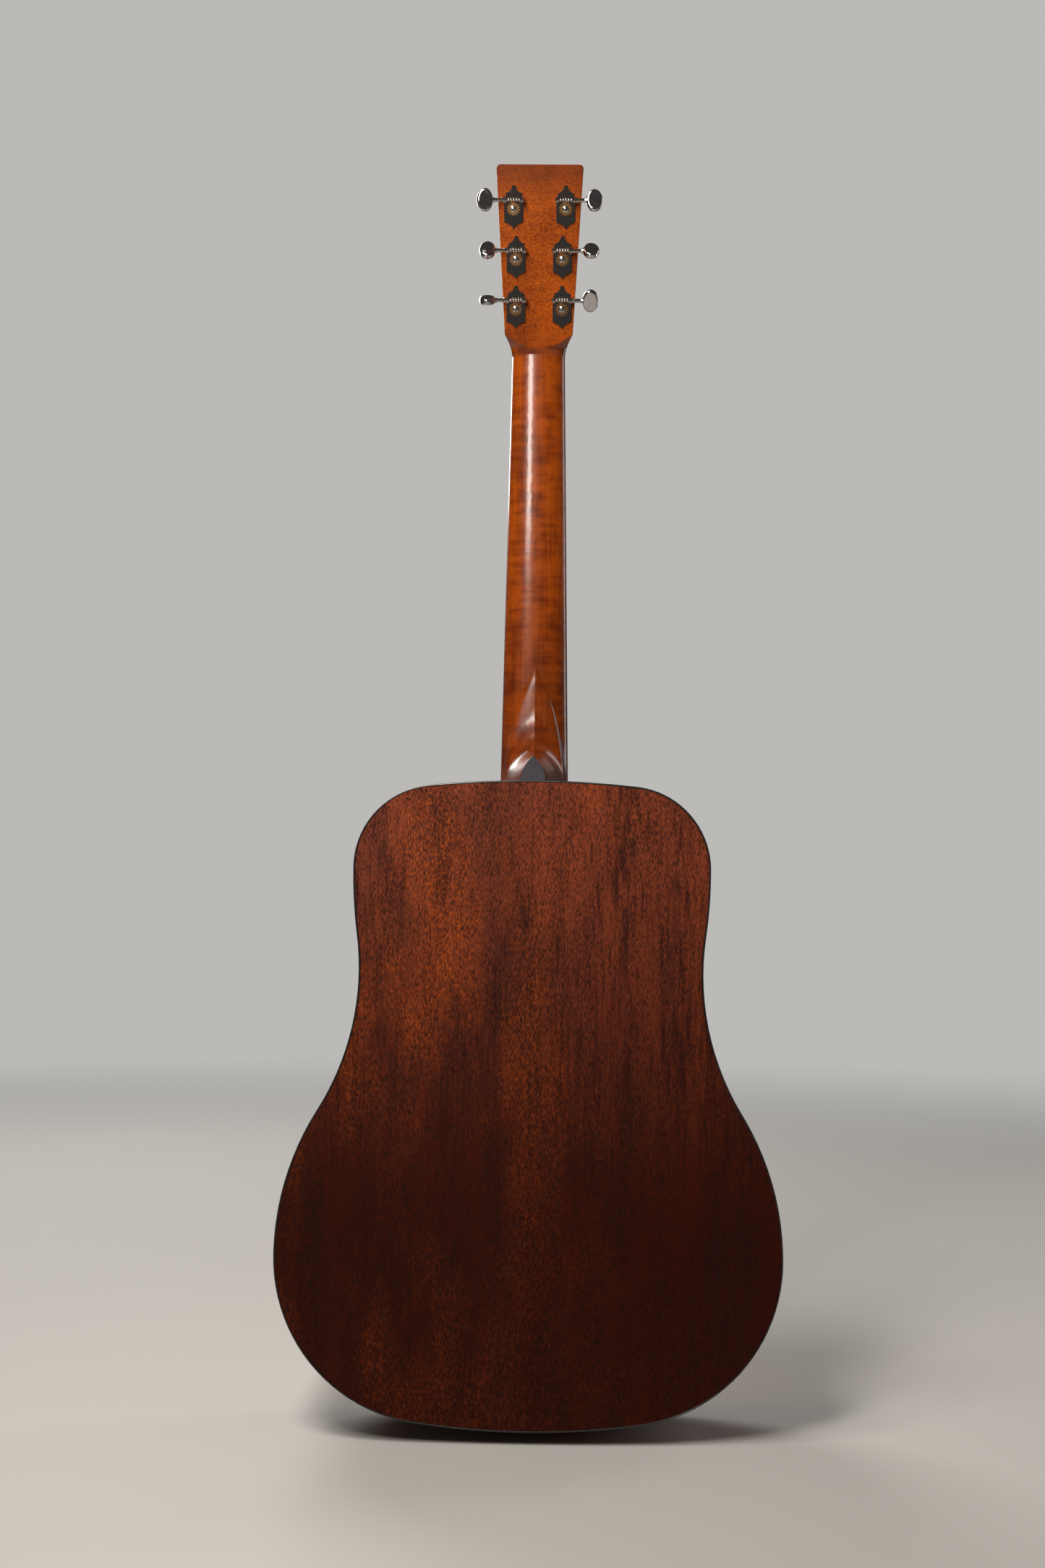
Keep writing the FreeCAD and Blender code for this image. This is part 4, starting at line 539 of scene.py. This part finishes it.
nodeFinish = {
    "soundboard": "spruceTop",
    "back_bass": "mahoganyBack",
    "back_treble": "mahoganyBack",
    "side_bass": "mahoganySide",
    "side_treble": "mahoganySide",
    "end_graft": "blackBinding",
    "top_binding": "blackBinding",
    "back_binding": "blackBinding",
    "neck_block": "insideMahogany",
    "tail_block": "insideMahogany",
    "linings": "insideSpruce",
    "top_braces": "insideSpruce",
    "back_braces": "insideSpruce",
    "back_strip": "insideSpruce",
    "bridge_plate": "maple",
    "rosette": "rosetteInlay",
    "pickguard": "tortoise",
    "bridge": "rosewood",
    "fretboard": "rosewood",
    "saddle": "bone",
    "nut": "bone",
    "bridge_pins": "pinBlack",
    "end_pin": "endPinBlack",
    "neck": "mahoganyNeck",
    "heel_cap": "capBlack",
    "frets": "fretNickel",
    "fret_markers": "pearl",
    "headplate": "headplateWood",
    "truss_rod": "rodSteel",
    "truss_nut": "rodSteel",
    "tuner_plates": "nickel",
    "tuner_bushings": "nickel",
    "plate_screws": "nickel",
    "strings": "strings",
}
tunerFinish = {"worm_shaft": "nickel", "post": "nickel", "knob": "knobNickel", "gear": "gearBronze"}


def dress(piece, finishName):
    piece.data.materials.clear()
    piece.data.materials.append(finishes[finishName])


for name, node in nodes.items():
    finishName = nodeFinish.get(name) or tunerFinish[name.rsplit("_", 1)[0]]
    if not node.material_slots:
        node.data.materials.append(None)
    for materialSlot in node.material_slots:
        materialSlot.material = finishes[finishName]
print("nodes dressed")


# Pieces that stand for a CAD node with a softer or finer shape.

def copyOf(nodeName, pieceName):
    # The node's mesh as a new object, with its loose triangles joined and flat areas made whole again.
    mesh = nodes[nodeName].data.copy()
    mesh.name = pieceName
    piece = bpy.data.objects.new(pieceName, mesh)
    bpy.context.scene.collection.objects.link(piece)
    work = bmesh.new()
    work.from_mesh(mesh)
    bmesh.ops.remove_doubles(work, verts=work.verts, dist=0.000002)
    bmesh.ops.dissolve_limit(work, angle_limit=math.radians(0.5), verts=work.verts, edges=work.edges)
    work.to_mesh(mesh)
    work.free()
    return piece


def asMesh(piece):
    # The piece's mesh as its modifiers leave it, with the modifiers taken off.
    bpy.context.view_layer.update()
    evaluated = piece.evaluated_get(bpy.context.evaluated_depsgraph_get())
    mesh = bpy.data.meshes.new_from_object(evaluated)
    piece.modifiers.clear()
    piece.data = mesh
    mesh.name = piece.name
    return piece


bindingEdge = {"radius": 0.0007, "steps": 3, "sharperThan": 40}


def softenBinding(nodeName, pieceName):
    piece = copyOf(nodeName, pieceName)
    bevel = piece.modifiers.new("edge", "BEVEL")
    bevel.width = bindingEdge["radius"]
    bevel.segments = bindingEdge["steps"]
    bevel.limit_method = "ANGLE"
    bevel.angle_limit = math.radians(bindingEdge["sharperThan"])
    bevel.harden_normals = True
    asMesh(piece)
    dress(piece, "blackBinding")
    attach(piece, "root")
    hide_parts(nodeName)
    return piece


softenBinding("back_binding", "backBindingRounded")
softenBinding("top_binding", "topBindingRounded")
print("bindings rounded")


# The tuner plates' slotted screws, set out by Geometry Nodes on the CAD screws' own places.

plateScrew = {
    "headRadius": 0.0018,
    "headHeight": 0.0009,
    "slotWidth": 0.0005,
    "slotDepth": 0.0004,
    "shankRadius": 0.0009,
    "shankLength": 0.0079,
    "seed": 7,
}


def screwSeats():
    # The centre of each screw head's seat, and the direction that all the screws face.
    work = bmesh.new()
    work.from_mesh(nodes["plate_screws"].data)
    bmesh.ops.remove_doubles(work, verts=work.verts, dist=0.000002)
    waiting = set(work.verts)
    seats, facing = [], Vector()
    while waiting:
        screw, edge = set(), [waiting.pop()]
        while edge:
            corner = edge.pop()
            screw.add(corner)
            near = {link.other_vert(corner) for link in corner.link_edges} & waiting
            waiting -= near
            edge += near
        spots = [corner.co.copy() for corner in screw]
        middle = sum(spots, Vector()) / len(spots)
        tip = max(spots, key=lambda spot: (spot - middle).length)
        top = max(spots, key=lambda spot: (spot - tip).length)
        facing += (top - tip).normalized()
        seats.append(top)
    work.free()
    facing.normalize()
    return [top - facing * plateScrew["headHeight"] for top in seats], facing


def makeScrewTree():
    tree = bpy.data.node_groups.new("plateScrews", "GeometryNodeTree")
    tree.interface.new_socket("Places", in_out="INPUT", socket_type="NodeSocketGeometry")
    tree.interface.new_socket("Screws", in_out="OUTPUT", socket_type="NodeSocketGeometry")
    for name in ("Head radius", "Head height", "Slot width", "Slot depth", "Shank radius", "Shank length"):
        tree.interface.new_socket(name, in_out="INPUT", socket_type="NodeSocketFloat")
    tree.interface.new_socket("Facing", in_out="INPUT", socket_type="NodeSocketVector")
    tree.interface.new_socket("Seed", in_out="INPUT", socket_type="NodeSocketInt")

    def add(kind, settings, sockets, output=0):
        node = tree.nodes.new(kind)
        for setting, value in settings.items():
            setattr(node, setting, value)
        for socket, value in sockets.items():
            if isinstance(value, bpy.types.NodeSocket):
                tree.links.new(value, node.inputs[socket])
            else:
                node.inputs[socket].default_value = value
        return node.outputs[output]

    given = tree.nodes.new("NodeGroupInput").outputs
    ball = add("GeometryNodeMeshUVSphere", {}, {"Segments": 32, "Rings": 16, "Radius": 1.0})
    girth = add("ShaderNodeCombineXYZ", {},
                {0: given["Head radius"], 1: given["Head radius"], 2: given["Head height"]})
    dome = add("GeometryNodeTransform", {}, {"Geometry": ball, "Scale": girth})
    across = add("ShaderNodeMath", {"operation": "MULTIPLY"}, {0: given["Head radius"], 1: 2.4})
    depth = add("ShaderNodeMath", {"operation": "MULTIPLY"}, {0: given["Slot depth"], 1: 2.0})
    bar = add("ShaderNodeCombineXYZ", {}, {0: across, 1: given["Slot width"], 2: depth})
    blade = add("GeometryNodeMeshCube", {}, {"Size": bar})
    up = add("ShaderNodeCombineXYZ", {}, {2: given["Head height"]})
    blade = add("GeometryNodeTransform", {}, {"Geometry": blade, "Translation": up})
    head = add("GeometryNodeMeshBoolean", {"operation": "DIFFERENCE"}, {0: dome, 1: blade})
    shank = add("GeometryNodeMeshCone", {}, {"Vertices": 20, "Radius Top": given["Shank radius"],
                                             "Radius Bottom": 0.0002, "Depth": given["Shank length"]})
    down = add("ShaderNodeMath", {"operation": "MULTIPLY"}, {0: given["Shank length"], 1: -1.0})
    below = add("ShaderNodeCombineXYZ", {}, {2: down})
    shank = add("GeometryNodeTransform", {}, {"Geometry": shank, "Translation": below})
    screw = tree.nodes.new("GeometryNodeJoinGeometry")
    tree.links.new(head, screw.inputs[0])
    tree.links.new(shank, screw.inputs[0])
    aimed = add("FunctionNodeAlignRotationToVector", {"axis": "Z"}, {"Vector": given["Facing"]})
    turn = add("FunctionNodeRandomValue", {"data_type": "FLOAT"},
               {2: 0.0, 3: math.pi, "Seed": given["Seed"]}, 1)
    spin = add("ShaderNodeCombineXYZ", {}, {2: turn})
    aimed = add("FunctionNodeRotateRotation", {"rotation_space": "LOCAL"}, {0: aimed, 1: spin})
    spread = add("GeometryNodeInstanceOnPoints", {},
                 {"Points": given["Places"], "Instance": screw.outputs[0], "Rotation": aimed})
    solid = add("GeometryNodeRealizeInstances", {}, {"Geometry": spread})
    painted = add("GeometryNodeSetMaterial", {}, {"Geometry": solid, "Material": finishes["nickel"]})
    tree.links.new(painted, tree.nodes.new("NodeGroupOutput").inputs[0])
    return tree


def makeScrews():
    seats, facing = screwSeats()
    mesh = bpy.data.meshes.new("plateScrews")
    mesh.from_pydata(seats, [], [])
    piece = bpy.data.objects.new("plateScrews", mesh)
    bpy.context.scene.collection.objects.link(piece)
    tree = makeScrewTree()
    layout = piece.modifiers.new("layout", "NODES")
    layout.node_group = tree
    wanted = {"Head radius": plateScrew["headRadius"], "Head height": plateScrew["headHeight"],
              "Slot width": plateScrew["slotWidth"], "Slot depth": plateScrew["slotDepth"],
              "Shank radius": plateScrew["shankRadius"], "Shank length": plateScrew["shankLength"],
              "Facing": facing, "Seed": plateScrew["seed"]}
    for socket in tree.interface.items_tree:
        if socket.in_out == "INPUT" and socket.name in wanted:
            layout[socket.identifier] = wanted[socket.name]
    asMesh(piece)
    piece.data.shade_smooth()
    piece.data.set_sharp_from_angle(angle=math.radians(35))
    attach(piece, "root")
    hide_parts("plate_screws")
    print("plate screws set out:", len(seats))


makeScrews()


# Floor, lights and camera

studio = {
    "floorSize": 30,
    "floor": tint(200, 197, 192),
    "farFloor": (0.9, 3.6),
    "air": (0.5, 0.49, 0.475, 1),
    "airLight": 0.1,
}


def makeFloor():
    # A pale floor that fades into the air with distance, so that no horizon shows.
    mesh = bpy.data.meshes.new("floor")
    half = studio["floorSize"] / 2
    corners = [(-half, -half, 0), (half, -half, 0), (half, half, 0), (-half, half, 0)]
    mesh.from_pydata(corners, [], [(0, 1, 2, 3)])
    floor = bpy.data.objects.new("floor", mesh)
    bpy.context.scene.collection.objects.link(floor)
    floor.location.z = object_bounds()[0].z - 0.0002
    finish = Finish("floorPaint", Specular_IOR_Level=0.1)
    distance = finish.length(finish.place)
    speckle = finish.noise((3, 3, 3), 3, 0.5)
    finish.feed("Base Color", finish.blend(speckle * 0.25, studio["floor"], tint(190, 186, 180)))
    finish.feed("Roughness", 0.6 + speckle * 0.1)
    near, far = studio["farFloor"]
    finish.feed("Alpha", distance.ramp(near, far, 1.0, 0.0))
    mesh.materials.append(finish.material)


def makeAir():
    # Pale to look at, and dimmer as a light, so that dark wood stays dark.
    world = bpy.data.worlds.new("air")
    bpy.context.scene.world = world
    world.use_nodes = True
    tree = world.node_tree
    background = tree.nodes["Background"]
    background.inputs["Color"].default_value = studio["air"]
    path = tree.nodes.new("ShaderNodeLightPath")
    strength = tree.nodes.new("ShaderNodeMapRange")
    strength.inputs["To Min"].default_value = studio["airLight"]
    tree.links.new(path.outputs["Is Camera Ray"], strength.inputs["Value"])
    tree.links.new(strength.outputs[0], background.inputs["Strength"])


lamps = {
    "key": {"at": (-0.33, -0.9, 1.28), "aim": (0, 0, 1.02), "width": 0.22, "height": 0.75, "power": 14,
            "colour": (1.0, 0.95, 0.88)},
    "above": {"at": (-0.6, -0.75, 1.9), "aim": (0, 0, 0.55), "width": 0.7, "height": 0.4, "power": 15,
              "colour": (1.0, 0.96, 0.92)},
    "rim": {"at": (1.5, 0.9, 1.1), "aim": (0, 0, 0.5), "width": 0.5, "height": 1.4, "power": 6,
            "colour": (1.0, 0.97, 0.94)},
    "front": {"at": (-0.9, 2.0, 1.7), "aim": (0, 0, 0.45), "width": 1.2, "height": 1.2, "power": 34,
              "colour": (1.0, 0.98, 0.95)},
}


def makeLamps():
    for name, lamp in lamps.items():
        light = bpy.data.lights.new(name, "AREA")
        light.shape = "RECTANGLE"
        light.size = lamp["width"]
        light.size_y = lamp["height"]
        light.energy = lamp["power"]
        light.color = lamp["colour"]
        holder = bpy.data.objects.new(name, light)
        bpy.context.scene.collection.objects.link(holder)
        place = Vector(lamp["at"])
        holder.location = place
        holder.rotation_euler = (Vector(lamp["aim"]) - place).to_track_quat("-Z", "Y").to_euler()


view = {
    "place": (0.01843, -1.76981, 0.44559),
    "yaw": 0.885,
    "pitch": 2.29,
    "roll": -0.609,
    "lens": 50,
    "sensor": 36,
}


def makeCamera():
    # Yaw turns it left, pitch tips it up and roll leans it over, in degrees, from looking along +Y.
    camera = bpy.data.cameras.new("view")
    camera.lens = view["lens"]
    camera.sensor_fit = "VERTICAL"
    camera.sensor_height = view["sensor"]
    holder = bpy.data.objects.new("view", camera)
    bpy.context.scene.collection.objects.link(holder)
    turn = Matrix.Identity(4)
    for degrees, axis in ((view["yaw"], "Z"), (view["pitch"], "X"), (view["roll"], "Y"), (90, "X")):
        turn = turn @ Matrix.Rotation(math.radians(degrees), 4, axis)
    holder.matrix_world = Matrix.Translation(view["place"]) @ turn
    bpy.context.scene.camera = holder
    bpy.context.scene.view_settings.view_transform = "Standard"


makeFloor()
makeAir()
makeLamps()
makeCamera()
print("studio ready")
